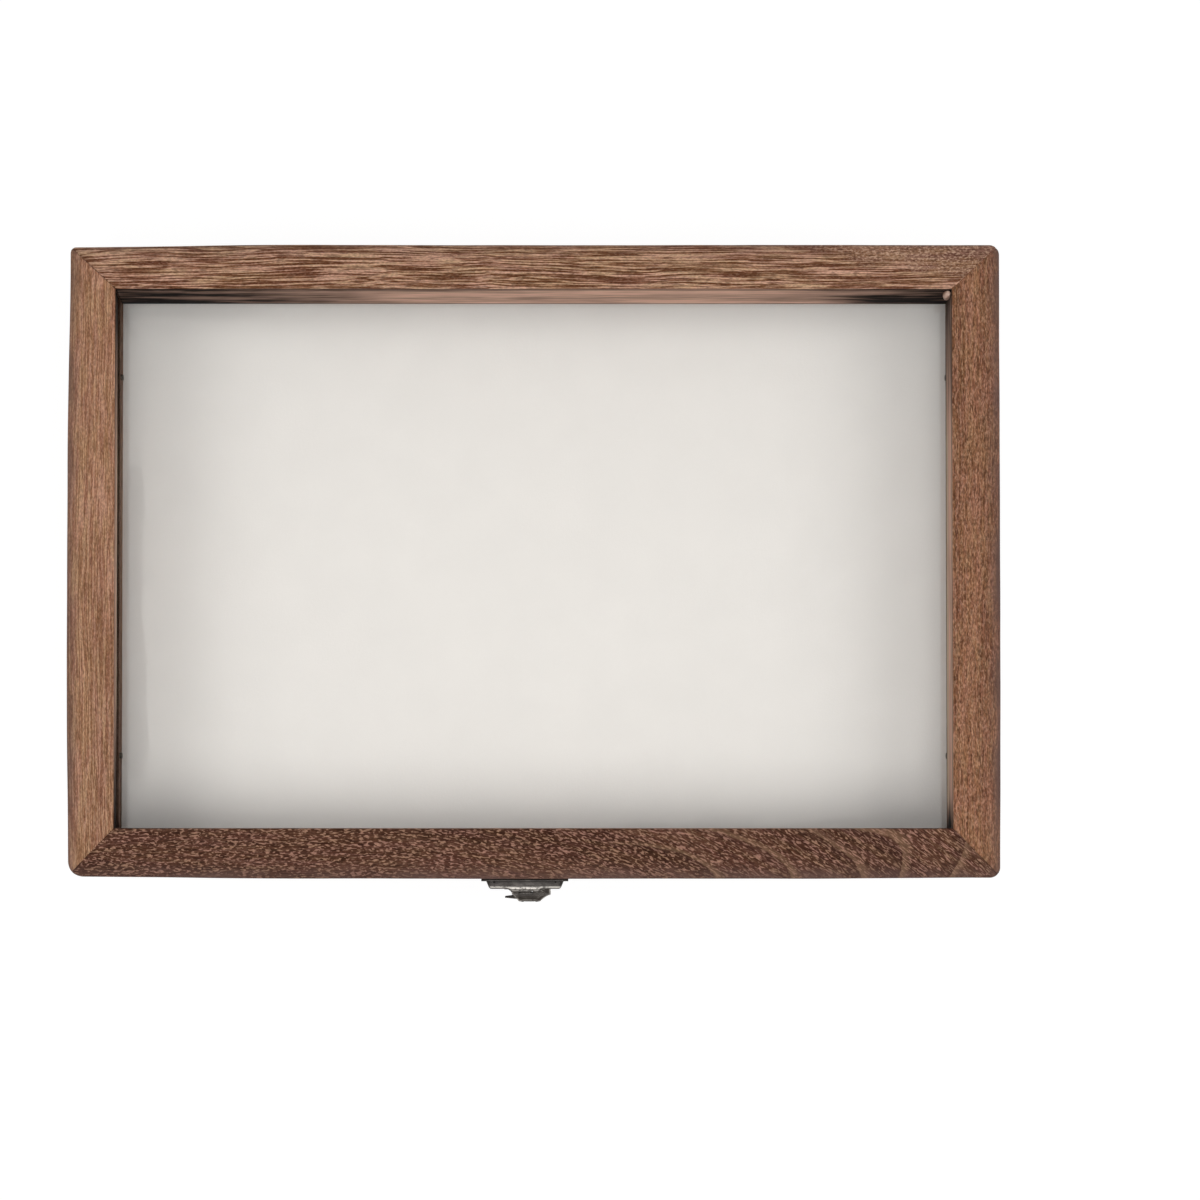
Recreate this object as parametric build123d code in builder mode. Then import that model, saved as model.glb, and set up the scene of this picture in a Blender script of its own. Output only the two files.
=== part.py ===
from build123d import *
import os

# An insect display case: a mitred wooden tray with a white foam board, a glazed lid on two
# hinges at the back, and a hasp latch at the front. Lengths are in millimetres. +X is the
# case's right, +Y its back and +Z up. The origin is the centre of the underside.

# Whole case
CASE_WIDTH = 310.0
CASE_DEPTH = 211.0
BASE_HEIGHT = 33.0
LID_HEIGHT = 17.0
TOP_EDGE_ROUND = 1.5
SMALL_EDGE_ROUND = 0.5

# The upright corners are sanded by hand, each to its own radius
CORNER_RADII = {
    ("front", "left"): 6.0,
    ("front", "right"): 4.0,
    ("back", "left"): 3.0,
    ("back", "right"): 3.5,
}

# Base tray
WALL_THICKNESS = 8.0
PANEL_THICKNESS = 4.0
PANEL_REBATE = 4.0
PANEL_CLEARANCE = 0.3
FOAM_THICKNESS = 14.0
FOAM_CLEARANCE = 0.4
FOAM_EDGE_ROUND = 0.8

# Lid rails, glass and beads
SIDE_RAIL_WIDTH = 16.3
BACK_RAIL_WIDTH = 15.2
FRONT_RAIL_WIDTH = 16.8
GLASS_DROP = 10.0
GLASS_THICKNESS = 2.0
GLASS_LIP = 5.0
GLASS_CLEARANCE = 0.4
BEAD_SETBACK = 1.0
BEAD_SEAM_CLEARANCE = 0.3

# Small nails: one form in two sizes, for the wood and for the latch
BRAD_RADIUS = 0.6
BRAD_HEAD_RADIUS = 1.0
BRAD_HEAD_HEIGHT = 0.7
BRAD_DEPTH = 11.0
PANEL_BRADS_LONG = 4
PANEL_BRADS_SHORT = 3
PANEL_BRAD_END = 30.0
GLAZING_BRAD_DEPTH = 9.0
GLAZING_BRAD_RISE = 3.2
GLAZING_BRAD_SPACING_LONG = 216.0
GLAZING_BRAD_SPACING_SHORT = 128.0
NAIL_RADIUS = 0.6
NAIL_HEAD_RADIUS = 1.1
NAIL_HEAD_HEIGHT = 0.6
NAIL_DEPTH = 6.0
FASTENER_FIT = 0.02

# Hinges on the back face
HINGE_END_INSET = 65.0
HINGE_WIDTH = 24.0
HINGE_REACH = 11.5
HINGE_LEAF_THICKNESS = 0.9
HINGE_BARREL_RADIUS = 1.7
HINGE_BARREL_CLEARANCE = 0.3
HINGE_MIDDLE_LENGTH = 8.6
HINGE_CORNER_RADIUS = 2.0
HINGE_PIN_RADIUS = 0.8
HINGE_PIN_OVERHANG = 0.5
HINGE_PIN_END_ROUND = 0.25
KNUCKLE_GAP = 0.25
RUNNING_CLEARANCE = 0.05
SCREW_RADIUS = 0.9
SCREW_HEAD_RADIUS = 1.7
SCREW_HEAD_HEIGHT = 0.9
SCREW_HEAD_ROUND = 0.6
SCREW_DEPTH = 7.0
SCREW_SLOT_WIDTH = 0.45
SCREW_SLOT_DEPTH = 0.35
SCREW_SPACING = 15.0
SCREW_REACH = 7.2

# Latch on the front face: heights are above or below the seam between base and lid
LATCH_X = -3.0
HASP_PLATE_WIDTH = 29.0
HASP_PLATE_LOW = 0.8
HASP_PLATE_HIGH = 13.0
HASP_PLATE_THICKNESS = 0.8
HASP_PLATE_CORNER = 1.5
RAISED_BORDER = 1.7
RAISED_HEIGHT = 3.4
RAISED_EDGE_ROUND = 1.0
HASP_NAIL_STRIP = 4.2
HASP_NAIL_SPACING = 22.3
HASP_AXIS_RISE = 2.0
HASP_AXIS_OUT = 3.0
HASP_BARREL_RADIUS = 1.6
HASP_BARREL_LENGTH = 9.7
HASP_MIDDLE_LENGTH = 4.4
HASP_BARREL_CLEARANCE = 0.8
HASP_PIN_RADIUS = 0.6
HASP_PIN_LEFT_OVERHANG = 2.2
HASP_PIN_RIGHT_OVERHANG = 0.4
HASP_WIDTH = 13.3
HASP_THICKNESS = 0.9
HASP_WIDE_LENGTH = 13.0
HASP_TAPER_LENGTH = 3.5
HASP_LIP_WIDTH = 7.7
HASP_STRAIGHT_LENGTH = 15.0
HASP_CURL_RADIUS = 6.0
HASP_CURL_ANGLE = 82.0
HASP_CORNER_RADIUS = 1.6
WINDOW_SIDE_CLEARANCE = 0.8
WINDOW_END_CLEARANCE = 1.2
CATCH_PLATE_WIDTH = 19.0
CATCH_PLATE_LOW = 12.2
CATCH_PLATE_HIGH = 0.8
CATCH_NAIL_SPACING = 14.8
STUD_DROP = 6.5
STUD_NECK_RADIUS = 1.1
STUD_HEAD_RADIUS = 1.7
STUD_HEAD_HEIGHT = 1.2
STUD_HEAD_ROUND = 0.8
STUD_HEAD_CLEARANCE = 0.35
STUD_DEPTH = 5.0

# Places that follow from the sizes
LID_TOP = BASE_HEIGHT + LID_HEIGHT
GLASS_TOP = LID_TOP - GLASS_DROP
GLASS_BOTTOM = GLASS_TOP - GLASS_THICKNESS
FOAM_TOP = PANEL_THICKNESS + FOAM_THICKNESS
BRAD_LINE_HEIGHT = BASE_HEIGHT + GLAZING_BRAD_RISE
HINGE_LEAF_START = HINGE_BARREL_RADIUS + HINGE_BARREL_CLEARANCE
HINGE_AXIS_Y = CASE_DEPTH / 2 + HINGE_LEAF_START
HINGE_PLACES = {"left": HINGE_END_INSET - CASE_WIDTH / 2, "right": CASE_WIDTH / 2 - HINGE_END_INSET}
HASP_AXIS_Y = -CASE_DEPTH / 2 - HASP_AXIS_OUT
HASP_AXIS_Z = BASE_HEIGHT + HASP_AXIS_RISE
STUD_HEIGHT = BASE_HEIGHT - STUD_DROP
STUD_HEAD_START = HASP_AXIS_OUT + HASP_THICKNESS / 2 + STUD_HEAD_CLEARANCE
HASP_NAIL_HEIGHT = BASE_HEIGHT + HASP_PLATE_HIGH - HASP_NAIL_STRIP / 2
FRONT_FACE = Plane(origin=(LATCH_X, -CASE_DEPTH / 2, 0), x_dir=(1, 0, 0), z_dir=(0, -1, 0))

# Each side's outward direction in plan
SIDES = {"front": (0, -1), "back": (0, 1), "left": (-1, 0), "right": (1, 0)}


def shifted(margins, amount):
    """The same margins, each further in by an amount, or further out by a negative one."""
    return {side: margin + amount for side, margin in margins.items()}


OUTLINE = {side: 0.0 for side in SIDES}
TRAY_OPENING = shifted(OUTLINE, WALL_THICKNESS)
PANEL_SEAT = shifted(TRAY_OPENING, -PANEL_REBATE)
LID_OPENING = {
    "front": FRONT_RAIL_WIDTH,
    "back": BACK_RAIL_WIDTH,
    "left": SIDE_RAIL_WIDTH,
    "right": SIDE_RAIL_WIDTH,
}
GLASS_SEAT = shifted(LID_OPENING, -GLASS_LIP)
BEAD_FACE = shifted(LID_OPENING, -BEAD_SETBACK)

os.makedirs("parts", exist_ok=True)


def save(builder, name):
    """Labels a finished piece and writes it to its own file."""
    builder.part.label = name
    export_step(builder.part, f"parts/{name}.step")


def add_block(margins, low, high, mode=Mode.ADD):
    """A block between two heights, inside the case's outline by a margin on each side."""
    low_x = margins["left"] - CASE_WIDTH / 2
    high_x = CASE_WIDTH / 2 - margins["right"]
    low_y = margins["front"] - CASE_DEPTH / 2
    high_y = CASE_DEPTH / 2 - margins["back"]
    with BuildSketch(Plane.XY.offset(low)) as block:
        with Locations(((low_x + high_x) / 2, (low_y + high_y) / 2)):
            Rectangle(high_x - low_x, high_y - low_y)
    extrude(block.sketch, amount=high - low, mode=mode)


def add_cross_cylinder(low_x, high_x, centre_y, centre_z, radius, mode=Mode.ADD):
    """A cylinder along X, between two places."""
    with BuildSketch(Plane.YZ.offset(low_x)) as section:
        with Locations((centre_y, centre_z)):
            Circle(radius)
    extrude(section.sketch, amount=high_x - low_x, mode=mode)


def side_middle(side, margin=0.0):
    """The middle of a side in plan, further in by a margin."""
    out_x, out_y = SIDES[side]
    return Vector(out_x * (CASE_WIDTH / 2 - margin), out_y * (CASE_DEPTH / 2 - margin))


def corner(x_side, y_side, margins):
    """The corner in plan where two sides' margins meet."""
    return side_middle(x_side, margins[x_side]) + side_middle(y_side, margins[y_side])


def round_corners(frame):
    """Rounds a frame's four upright corners, each to its own radius."""
    for (y_side, x_side), radius in CORNER_RADII.items():
        upright = frame.edges().filter_by(Axis.Z).sort_by_distance(corner(x_side, y_side, OUTLINE))[0]
        fillet(upright, radius)


def mitre_planes(side, outer, inner):
    """The upright planes through the outer and inner corners of a side, facing its own piece."""
    ends = ("front", "back") if side in ("left", "right") else ("left", "right")
    planes = []
    for end in ends:
        x_side, y_side = (side, end) if side in ("left", "right") else (end, side)
        start = corner(x_side, y_side, outer)
        along = corner(x_side, y_side, inner) - start
        facing = Vector(along.Y, -along.X)
        if facing.dot(side_middle(side) - start) < 0:
            facing = -facing
        planes.append(Plane(origin=start, x_dir=(0, 0, 1), z_dir=facing))
    return planes


def cut_mitres(side, outer, inner):
    """Keeps only one side's piece of a whole frame."""
    for plane in mitre_planes(side, outer, inner):
        split(bisect_by=plane, keep=Keep.TOP)


def cut_fastener_holes(planes, radius, depth):
    """Holes below each plane, as wide as the fastener and its fit."""
    for plane in planes:
        with Locations(plane.offset(-depth / 2)):
            Cylinder(radius + FASTENER_FIT, depth, mode=Mode.SUBTRACT)


def panel_brad_planes():
    """Planes on the bottom panel's underside at each brad, facing down."""
    inset = WALL_THICKNESS - PANEL_REBATE / 2
    pitch_x = (CASE_WIDTH - 2 * PANEL_BRAD_END) / (PANEL_BRADS_LONG - 1)
    pitch_y = (CASE_DEPTH - 2 * PANEL_BRAD_END) / (PANEL_BRADS_SHORT - 1)
    rows = list(GridLocations(pitch_x, CASE_DEPTH - 2 * inset, PANEL_BRADS_LONG, 2))
    rows += list(GridLocations(CASE_WIDTH - 2 * inset, pitch_y, 2, PANEL_BRADS_SHORT))
    places = [row.position for row in rows]
    return [Plane(origin=(at.X, at.Y, 0), z_dir=(0, 0, -1)) for at in places]


def glazing_brad_planes():
    """Planes on the beads' inner faces at each brad, facing into the opening."""
    planes = []
    for side, (out_x, out_y) in SIDES.items():
        spacing = GLAZING_BRAD_SPACING_SHORT if side in ("left", "right") else GLAZING_BRAD_SPACING_LONG
        middle = side_middle(side, BEAD_FACE[side])
        for end in (-1, 1):
            along = Vector(-out_y, out_x) * (end * spacing / 2)
            origin = middle + along + Vector(0, 0, BRAD_LINE_HEIGHT)
            planes.append(Plane(origin=origin, x_dir=(0, 0, 1), z_dir=(-out_x, -out_y, 0)))
    return planes


def leaf_plane(hinge_x, rise):
    """Plane on the back face at a hinge, its Y axis away from the seam: up for 1, down for -1."""
    return Plane(origin=(hinge_x, CASE_DEPTH / 2, BASE_HEIGHT), x_dir=(-rise, 0, 0), z_dir=(0, 1, 0))


def hinge_screw_planes(rise, outward):
    """Planes at the hinge screws of the lid or the base, a distance out from the back face."""
    planes = []
    for hinge_x in HINGE_PLACES.values():
        face = leaf_plane(hinge_x, rise).offset(outward)
        for end in (-1, 1):
            origin = face.from_local_coords((end * SCREW_SPACING / 2, SCREW_REACH, 0))
            planes.append(Plane(origin=origin, x_dir=face.x_dir, z_dir=face.z_dir))
    return planes


def latch_nail_planes(spacing, height, outward):
    """Planes at a pair of latch nails, a distance out from the front face."""
    face = FRONT_FACE.offset(outward)
    origins = [face.from_local_coords((end * spacing / 2, height, 0)) for end in (-1, 1)]
    return [Plane(origin=origin, x_dir=face.x_dir, z_dir=face.z_dir) for origin in origins]


PANEL_BRAD_PLANES = panel_brad_planes()
GLAZING_BRAD_PLANES = glazing_brad_planes()
CATCH_NAIL_PLANES = latch_nail_planes(CATCH_NAIL_SPACING, STUD_HEIGHT, HASP_PLATE_THICKNESS)
HASP_NAIL_PLANES = latch_nail_planes(HASP_NAIL_SPACING, HASP_NAIL_HEIGHT, HASP_PLATE_THICKNESS)


# Base tray, whole, then cut at its mitres
with BuildPart() as tray:
    add_block(OUTLINE, 0, BASE_HEIGHT)
    round_corners(tray)
    fillet(tray.faces().sort_by(Axis.Z)[-1].edges(), SMALL_EDGE_ROUND)
    fillet(tray.faces().sort_by(Axis.Z)[0].edges(), SMALL_EDGE_ROUND)
    add_block(TRAY_OPENING, 0, BASE_HEIGHT, Mode.SUBTRACT)
    add_block(PANEL_SEAT, 0, PANEL_THICKNESS, Mode.SUBTRACT)
    cut_fastener_holes(PANEL_BRAD_PLANES, BRAD_RADIUS, BRAD_DEPTH)
    cut_fastener_holes(hinge_screw_planes(-1, HINGE_LEAF_THICKNESS), SCREW_RADIUS, SCREW_DEPTH)
    cut_fastener_holes(CATCH_NAIL_PLANES, NAIL_RADIUS, NAIL_DEPTH)
    stud_seat = Plane(origin=FRONT_FACE.from_local_coords((0, STUD_HEIGHT, 0)), z_dir=(0, -1, 0))
    cut_fastener_holes([stud_seat], STUD_NECK_RADIUS, STUD_DEPTH)

for side in SIDES:
    with BuildPart() as wall:
        add(tray.part)
        cut_mitres(side, OUTLINE, TRAY_OPENING)
    save(wall, f"base_{side}_wall")

with BuildPart() as bottom_panel:
    add_block(shifted(PANEL_SEAT, PANEL_CLEARANCE), 0, PANEL_THICKNESS)
    cut_fastener_holes(PANEL_BRAD_PLANES, BRAD_RADIUS, PANEL_THICKNESS)
    cut_fastener_holes(PANEL_BRAD_PLANES, BRAD_HEAD_RADIUS, BRAD_HEAD_HEIGHT)
save(bottom_panel, "bottom_panel")

with BuildPart() as pinning_foam:
    add_block(shifted(TRAY_OPENING, FOAM_CLEARANCE), PANEL_THICKNESS, FOAM_TOP)
    fillet(pinning_foam.faces().sort_by(Axis.Z)[-1].edges(), FOAM_EDGE_ROUND)
save(pinning_foam, "pinning_foam")


# Lid frame, whole, then cut at its mitres
with BuildPart() as lid_frame:
    add_block(OUTLINE, BASE_HEIGHT, LID_TOP)
    round_corners(lid_frame)
    fillet(lid_frame.faces().sort_by(Axis.Z)[-1].edges(), TOP_EDGE_ROUND)
    fillet(lid_frame.faces().sort_by(Axis.Z)[0].edges(), SMALL_EDGE_ROUND)
    add_block(LID_OPENING, BASE_HEIGHT, LID_TOP, Mode.SUBTRACT)
    add_block(GLASS_SEAT, BASE_HEIGHT, GLASS_TOP, Mode.SUBTRACT)
    cut_fastener_holes(GLAZING_BRAD_PLANES, BRAD_RADIUS, GLAZING_BRAD_DEPTH)
    cut_fastener_holes(hinge_screw_planes(1, HINGE_LEAF_THICKNESS), SCREW_RADIUS, SCREW_DEPTH)
    cut_fastener_holes(HASP_NAIL_PLANES, NAIL_RADIUS, NAIL_DEPTH)

for side in SIDES:
    with BuildPart() as rail:
        add(lid_frame.part)
        cut_mitres(side, OUTLINE, LID_OPENING)
        top_edges = rail.edges().filter_by_position(Axis.Z, LID_TOP, LID_TOP)
        fillet(top_edges.sort_by_distance((0, 0, LID_TOP))[0], SMALL_EDGE_ROUND)
    save(rail, f"lid_{side}_rail")

with BuildPart() as glass_pane:
    add_block(shifted(GLASS_SEAT, GLASS_CLEARANCE), GLASS_BOTTOM, GLASS_TOP)
save(glass_pane, "glass_pane")

with BuildPart() as bead_frame:
    add_block(GLASS_SEAT, BASE_HEIGHT + BEAD_SEAM_CLEARANCE, GLASS_BOTTOM)
    add_block(BEAD_FACE, BASE_HEIGHT, GLASS_BOTTOM, Mode.SUBTRACT)
    cut_fastener_holes(GLAZING_BRAD_PLANES, BRAD_RADIUS, GLAZING_BRAD_DEPTH)

for side in SIDES:
    with BuildPart() as bead:
        add(bead_frame.part)
        cut_mitres(side, GLASS_SEAT, BEAD_FACE)
    save(bead, f"glazing_bead_{side}")


def add_fasteners(planes, radius, head_radius, head_height, depth, sunk=0.0):
    """Nails driven square into each plane, with flat round heads that can be sunk below it."""
    for plane in planes:
        with Locations(plane.offset(head_height / 2 - sunk)):
            Cylinder(head_radius, head_height)
        shank = depth - sunk
        with Locations(plane.offset(-sunk - shank / 2)):
            Cylinder(radius, shank)


with BuildPart() as bottom_panel_brads:
    add_fasteners(
        PANEL_BRAD_PLANES, BRAD_RADIUS, BRAD_HEAD_RADIUS, BRAD_HEAD_HEIGHT, BRAD_DEPTH, BRAD_HEAD_HEIGHT
    )
save(bottom_panel_brads, "bottom_panel_brads")

with BuildPart() as glazing_brads:
    add_fasteners(GLAZING_BRAD_PLANES, BRAD_RADIUS, BRAD_HEAD_RADIUS, BRAD_HEAD_HEIGHT, GLAZING_BRAD_DEPTH)
save(glazing_brads, "glazing_brads")


# Hinges
def knuckle_spans(hinge_x):
    """Where the hinge's three knuckles start and end along X: the lid's middle, the base's outer two."""
    middle = HINGE_MIDDLE_LENGTH / 2
    outer_start = middle + KNUCKLE_GAP
    outer_end = HINGE_WIDTH / 2
    lid_spans = [(hinge_x - middle, hinge_x + middle)]
    base_spans = [
        (hinge_x - outer_end, hinge_x - outer_start),
        (hinge_x + outer_start, hinge_x + outer_end),
    ]
    return lid_spans, base_spans


def add_hinge_leaf(hinge_x, rise, spans, bore_clearance):
    """A leaf flat on the back face, with its knuckles round the pin."""
    face = leaf_plane(hinge_x, rise)
    with BuildSketch(face) as leaf:
        with Locations((0, (HINGE_LEAF_START + HINGE_REACH) / 2)):
            Rectangle(HINGE_WIDTH, HINGE_REACH - HINGE_LEAF_START)
        fillet(leaf.vertices().group_by(Axis.Z)[-1 if rise > 0 else 0], HINGE_CORNER_RADIUS)
    extrude(leaf.sketch, amount=HINGE_LEAF_THICKNESS)
    for low, high in spans:
        with BuildSketch(face) as tongue:
            with Locations((-rise * ((low + high) / 2 - hinge_x), HINGE_LEAF_START / 2)):
                Rectangle(high - low, HINGE_LEAF_START)
        extrude(tongue.sketch, amount=HINGE_LEAF_THICKNESS)
        add_cross_cylinder(low, high, HINGE_AXIS_Y, BASE_HEIGHT, HINGE_BARREL_RADIUS)
    for low, high in spans:
        bore = HINGE_PIN_RADIUS + bore_clearance
        add_cross_cylinder(low, high, HINGE_AXIS_Y, BASE_HEIGHT, bore, Mode.SUBTRACT)


for side, hinge_x in HINGE_PLACES.items():
    lid_spans, base_spans = knuckle_spans(hinge_x)
    with BuildPart() as lid_leaf:
        add_hinge_leaf(hinge_x, 1, lid_spans, RUNNING_CLEARANCE)
        cut_fastener_holes(hinge_screw_planes(1, HINGE_LEAF_THICKNESS), SCREW_RADIUS, SCREW_DEPTH)
    save(lid_leaf, f"hinge_{side}_lid_leaf")
    with BuildPart() as base_leaf:
        add_hinge_leaf(hinge_x, -1, base_spans, FASTENER_FIT)
        cut_fastener_holes(hinge_screw_planes(-1, HINGE_LEAF_THICKNESS), SCREW_RADIUS, SCREW_DEPTH)
    save(base_leaf, f"hinge_{side}_base_leaf")
    with BuildPart() as hinge_pin:
        half_pin = HINGE_WIDTH / 2 + HINGE_PIN_OVERHANG
        add_cross_cylinder(
            hinge_x - half_pin, hinge_x + half_pin, HINGE_AXIS_Y, BASE_HEIGHT, HINGE_PIN_RADIUS
        )
        fillet(hinge_pin.edges().filter_by(GeomType.CIRCLE), HINGE_PIN_END_ROUND)
    save(hinge_pin, f"hinge_{side}_pin")

with BuildPart() as hinge_screw:
    with Locations((0, 0, SCREW_HEAD_HEIGHT / 2)):
        Cylinder(SCREW_HEAD_RADIUS, SCREW_HEAD_HEIGHT)
    fillet(hinge_screw.faces().sort_by(Axis.Z)[-1].edges(), SCREW_HEAD_ROUND)
    with Locations((0, 0, SCREW_HEAD_HEIGHT)):
        Box(2 * SCREW_HEAD_RADIUS, SCREW_SLOT_WIDTH, 2 * SCREW_SLOT_DEPTH, mode=Mode.SUBTRACT)
    with Locations((0, 0, -SCREW_DEPTH / 2)):
        Cylinder(SCREW_RADIUS, SCREW_DEPTH)

for name, rise in (("hinge_lid_screws", 1), ("hinge_base_screws", -1)):
    with BuildPart() as screws:
        with Locations(*hinge_screw_planes(rise, HINGE_LEAF_THICKNESS)):
            add(hinge_screw.part)
    save(screws, name)


# Latch
def add_front_plate(width, low, high, start, end, corner_radius):
    """A plate on the front face between two heights and two distances out, with round corners."""
    with BuildSketch(FRONT_FACE.offset(start)) as plate:
        with Locations((0, (low + high) / 2)):
            RectangleRounded(width, high - low, corner_radius)
    extrude(plate.sketch, amount=end - start)


with BuildPart() as hasp_plate:
    plate_low = BASE_HEIGHT + HASP_PLATE_LOW
    plate_high = BASE_HEIGHT + HASP_PLATE_HIGH
    raised_low = HASP_AXIS_Z + HASP_BARREL_RADIUS + HASP_BARREL_CLEARANCE
    raised_high = plate_high - HASP_NAIL_STRIP
    raised_width = HASP_PLATE_WIDTH - 2 * RAISED_BORDER
    add_front_plate(raised_width, raised_low, raised_high, 0, RAISED_HEIGHT, HASP_PLATE_CORNER)
    fillet(hasp_plate.faces().sort_by(Axis.Y)[0].edges(), RAISED_EDGE_ROUND)
    add_front_plate(HASP_PLATE_WIDTH, plate_low, plate_high, 0, HASP_PLATE_THICKNESS, HASP_PLATE_CORNER)
    lug_inner = HASP_MIDDLE_LENGTH / 2 + KNUCKLE_GAP
    lug_outer = HASP_BARREL_LENGTH / 2
    lug_top = HASP_AXIS_Z + HASP_BARREL_RADIUS
    for end in (-1, 1):
        with BuildSketch(FRONT_FACE):
            with Locations((end * (lug_inner + lug_outer) / 2, (plate_low + lug_top) / 2)):
                Rectangle(lug_outer - lug_inner, lug_top - plate_low)
        extrude(amount=HASP_AXIS_OUT)
        start = LATCH_X + (lug_inner if end > 0 else -lug_outer)
        finish = LATCH_X + (lug_outer if end > 0 else -lug_inner)
        add_cross_cylinder(start, finish, HASP_AXIS_Y, HASP_AXIS_Z, HASP_BARREL_RADIUS)
    add_cross_cylinder(
        LATCH_X - lug_outer, LATCH_X + lug_outer, HASP_AXIS_Y, HASP_AXIS_Z,
        HASP_PIN_RADIUS + FASTENER_FIT, Mode.SUBTRACT,
    )
    cut_fastener_holes(HASP_NAIL_PLANES, NAIL_RADIUS, NAIL_DEPTH)
save(hasp_plate, "hasp_plate")

with BuildPart() as hasp_pin:
    add_cross_cylinder(
        LATCH_X - HASP_BARREL_LENGTH / 2 - HASP_PIN_LEFT_OVERHANG,
        LATCH_X + HASP_BARREL_LENGTH / 2 + HASP_PIN_RIGHT_OVERHANG,
        HASP_AXIS_Y, HASP_AXIS_Z, HASP_PIN_RADIUS,
    )
save(hasp_pin, "hasp_pin")

# The hasp is a bent strip seen from the side, trimmed to its outline seen from the front
with BuildPart() as hasp:
    with BuildSketch(Plane.YZ.offset(LATCH_X - HASP_WIDTH / 2)):
        with BuildLine():
            bend_start = (HASP_AXIS_Y, HASP_AXIS_Z - HASP_STRAIGHT_LENGTH)
            Line((HASP_AXIS_Y, HASP_AXIS_Z - HASP_PIN_RADIUS), bend_start)
            JernArc(start=bend_start, tangent=(0, -1), radius=HASP_CURL_RADIUS, arc_size=-HASP_CURL_ANGLE)
        trace(line_width=HASP_THICKNESS)
    extrude(amount=HASP_WIDTH)
    shoulder = HASP_AXIS_Z - HASP_BARREL_RADIUS - HASP_BARREL_CLEARANCE
    taper_start = shoulder - HASP_WIDE_LENGTH + HASP_TAPER_LENGTH
    taper_end = taper_start - HASP_TAPER_LENGTH
    tip = HASP_AXIS_Z - HASP_STRAIGHT_LENGTH - 2 * HASP_CURL_RADIUS
    with BuildSketch(FRONT_FACE) as hasp_outline:
        with BuildLine():
            Polyline(
                (-HASP_WIDTH / 2, shoulder),
                (HASP_WIDTH / 2, shoulder),
                (HASP_WIDTH / 2, taper_start),
                (HASP_LIP_WIDTH / 2, taper_end),
                (HASP_LIP_WIDTH / 2, tip),
                (-HASP_LIP_WIDTH / 2, tip),
                (-HASP_LIP_WIDTH / 2, taper_end),
                (-HASP_WIDTH / 2, taper_start),
                close=True,
            )
        make_face()
        fillet(hasp_outline.vertices(), HASP_CORNER_RADIUS)
        with Locations((0, (HASP_AXIS_Z + shoulder) / 2)):
            Rectangle(HASP_MIDDLE_LENGTH, HASP_AXIS_Z - shoulder)
        with Locations((0, STUD_HEIGHT)):
            Rectangle(
                2 * (STUD_HEAD_RADIUS + WINDOW_SIDE_CLEARANCE),
                2 * (STUD_HEAD_RADIUS + WINDOW_END_CLEARANCE),
                mode=Mode.SUBTRACT,
            )
    extrude(amount=HASP_AXIS_OUT + 2 * HASP_CURL_RADIUS, mode=Mode.INTERSECT)
    middle_low = LATCH_X - HASP_MIDDLE_LENGTH / 2
    middle_high = LATCH_X + HASP_MIDDLE_LENGTH / 2
    add_cross_cylinder(middle_low, middle_high, HASP_AXIS_Y, HASP_AXIS_Z, HASP_BARREL_RADIUS)
    hasp_bore = HASP_PIN_RADIUS + RUNNING_CLEARANCE
    add_cross_cylinder(middle_low, middle_high, HASP_AXIS_Y, HASP_AXIS_Z, hasp_bore, Mode.SUBTRACT)
save(hasp, "hasp")

with BuildPart() as catch_plate:
    catch_low = BASE_HEIGHT - CATCH_PLATE_LOW
    catch_high = BASE_HEIGHT - CATCH_PLATE_HIGH
    add_front_plate(CATCH_PLATE_WIDTH, catch_low, catch_high, 0, HASP_PLATE_THICKNESS, HASP_PLATE_CORNER)
    cut_fastener_holes([stud_seat.offset(HASP_PLATE_THICKNESS)], STUD_NECK_RADIUS, STUD_DEPTH)
    cut_fastener_holes(CATCH_NAIL_PLANES, NAIL_RADIUS, NAIL_DEPTH)
save(catch_plate, "catch_plate")

with BuildPart() as catch_stud:
    neck_length = STUD_HEAD_START + STUD_DEPTH
    with Locations(stud_seat.offset(STUD_HEAD_START - neck_length / 2)):
        Cylinder(STUD_NECK_RADIUS, neck_length)
    with Locations(stud_seat.offset(STUD_HEAD_START + STUD_HEAD_HEIGHT / 2)):
        Cylinder(STUD_HEAD_RADIUS, STUD_HEAD_HEIGHT)
    fillet(catch_stud.faces().sort_by(Axis.Y)[0].edges(), STUD_HEAD_ROUND)
save(catch_stud, "catch_stud")

with BuildPart() as hasp_plate_nails:
    add_fasteners(HASP_NAIL_PLANES, NAIL_RADIUS, NAIL_HEAD_RADIUS, NAIL_HEAD_HEIGHT, NAIL_DEPTH)
save(hasp_plate_nails, "hasp_plate_nails")

with BuildPart() as catch_nails:
    add_fasteners(CATCH_NAIL_PLANES, NAIL_RADIUS, NAIL_HEAD_RADIUS, NAIL_HEAD_HEIGHT, NAIL_DEPTH)
save(catch_nails, "catch_nails")
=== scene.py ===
import math

import bpy
import numpy as np
from mathutils import Matrix, Vector


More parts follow.
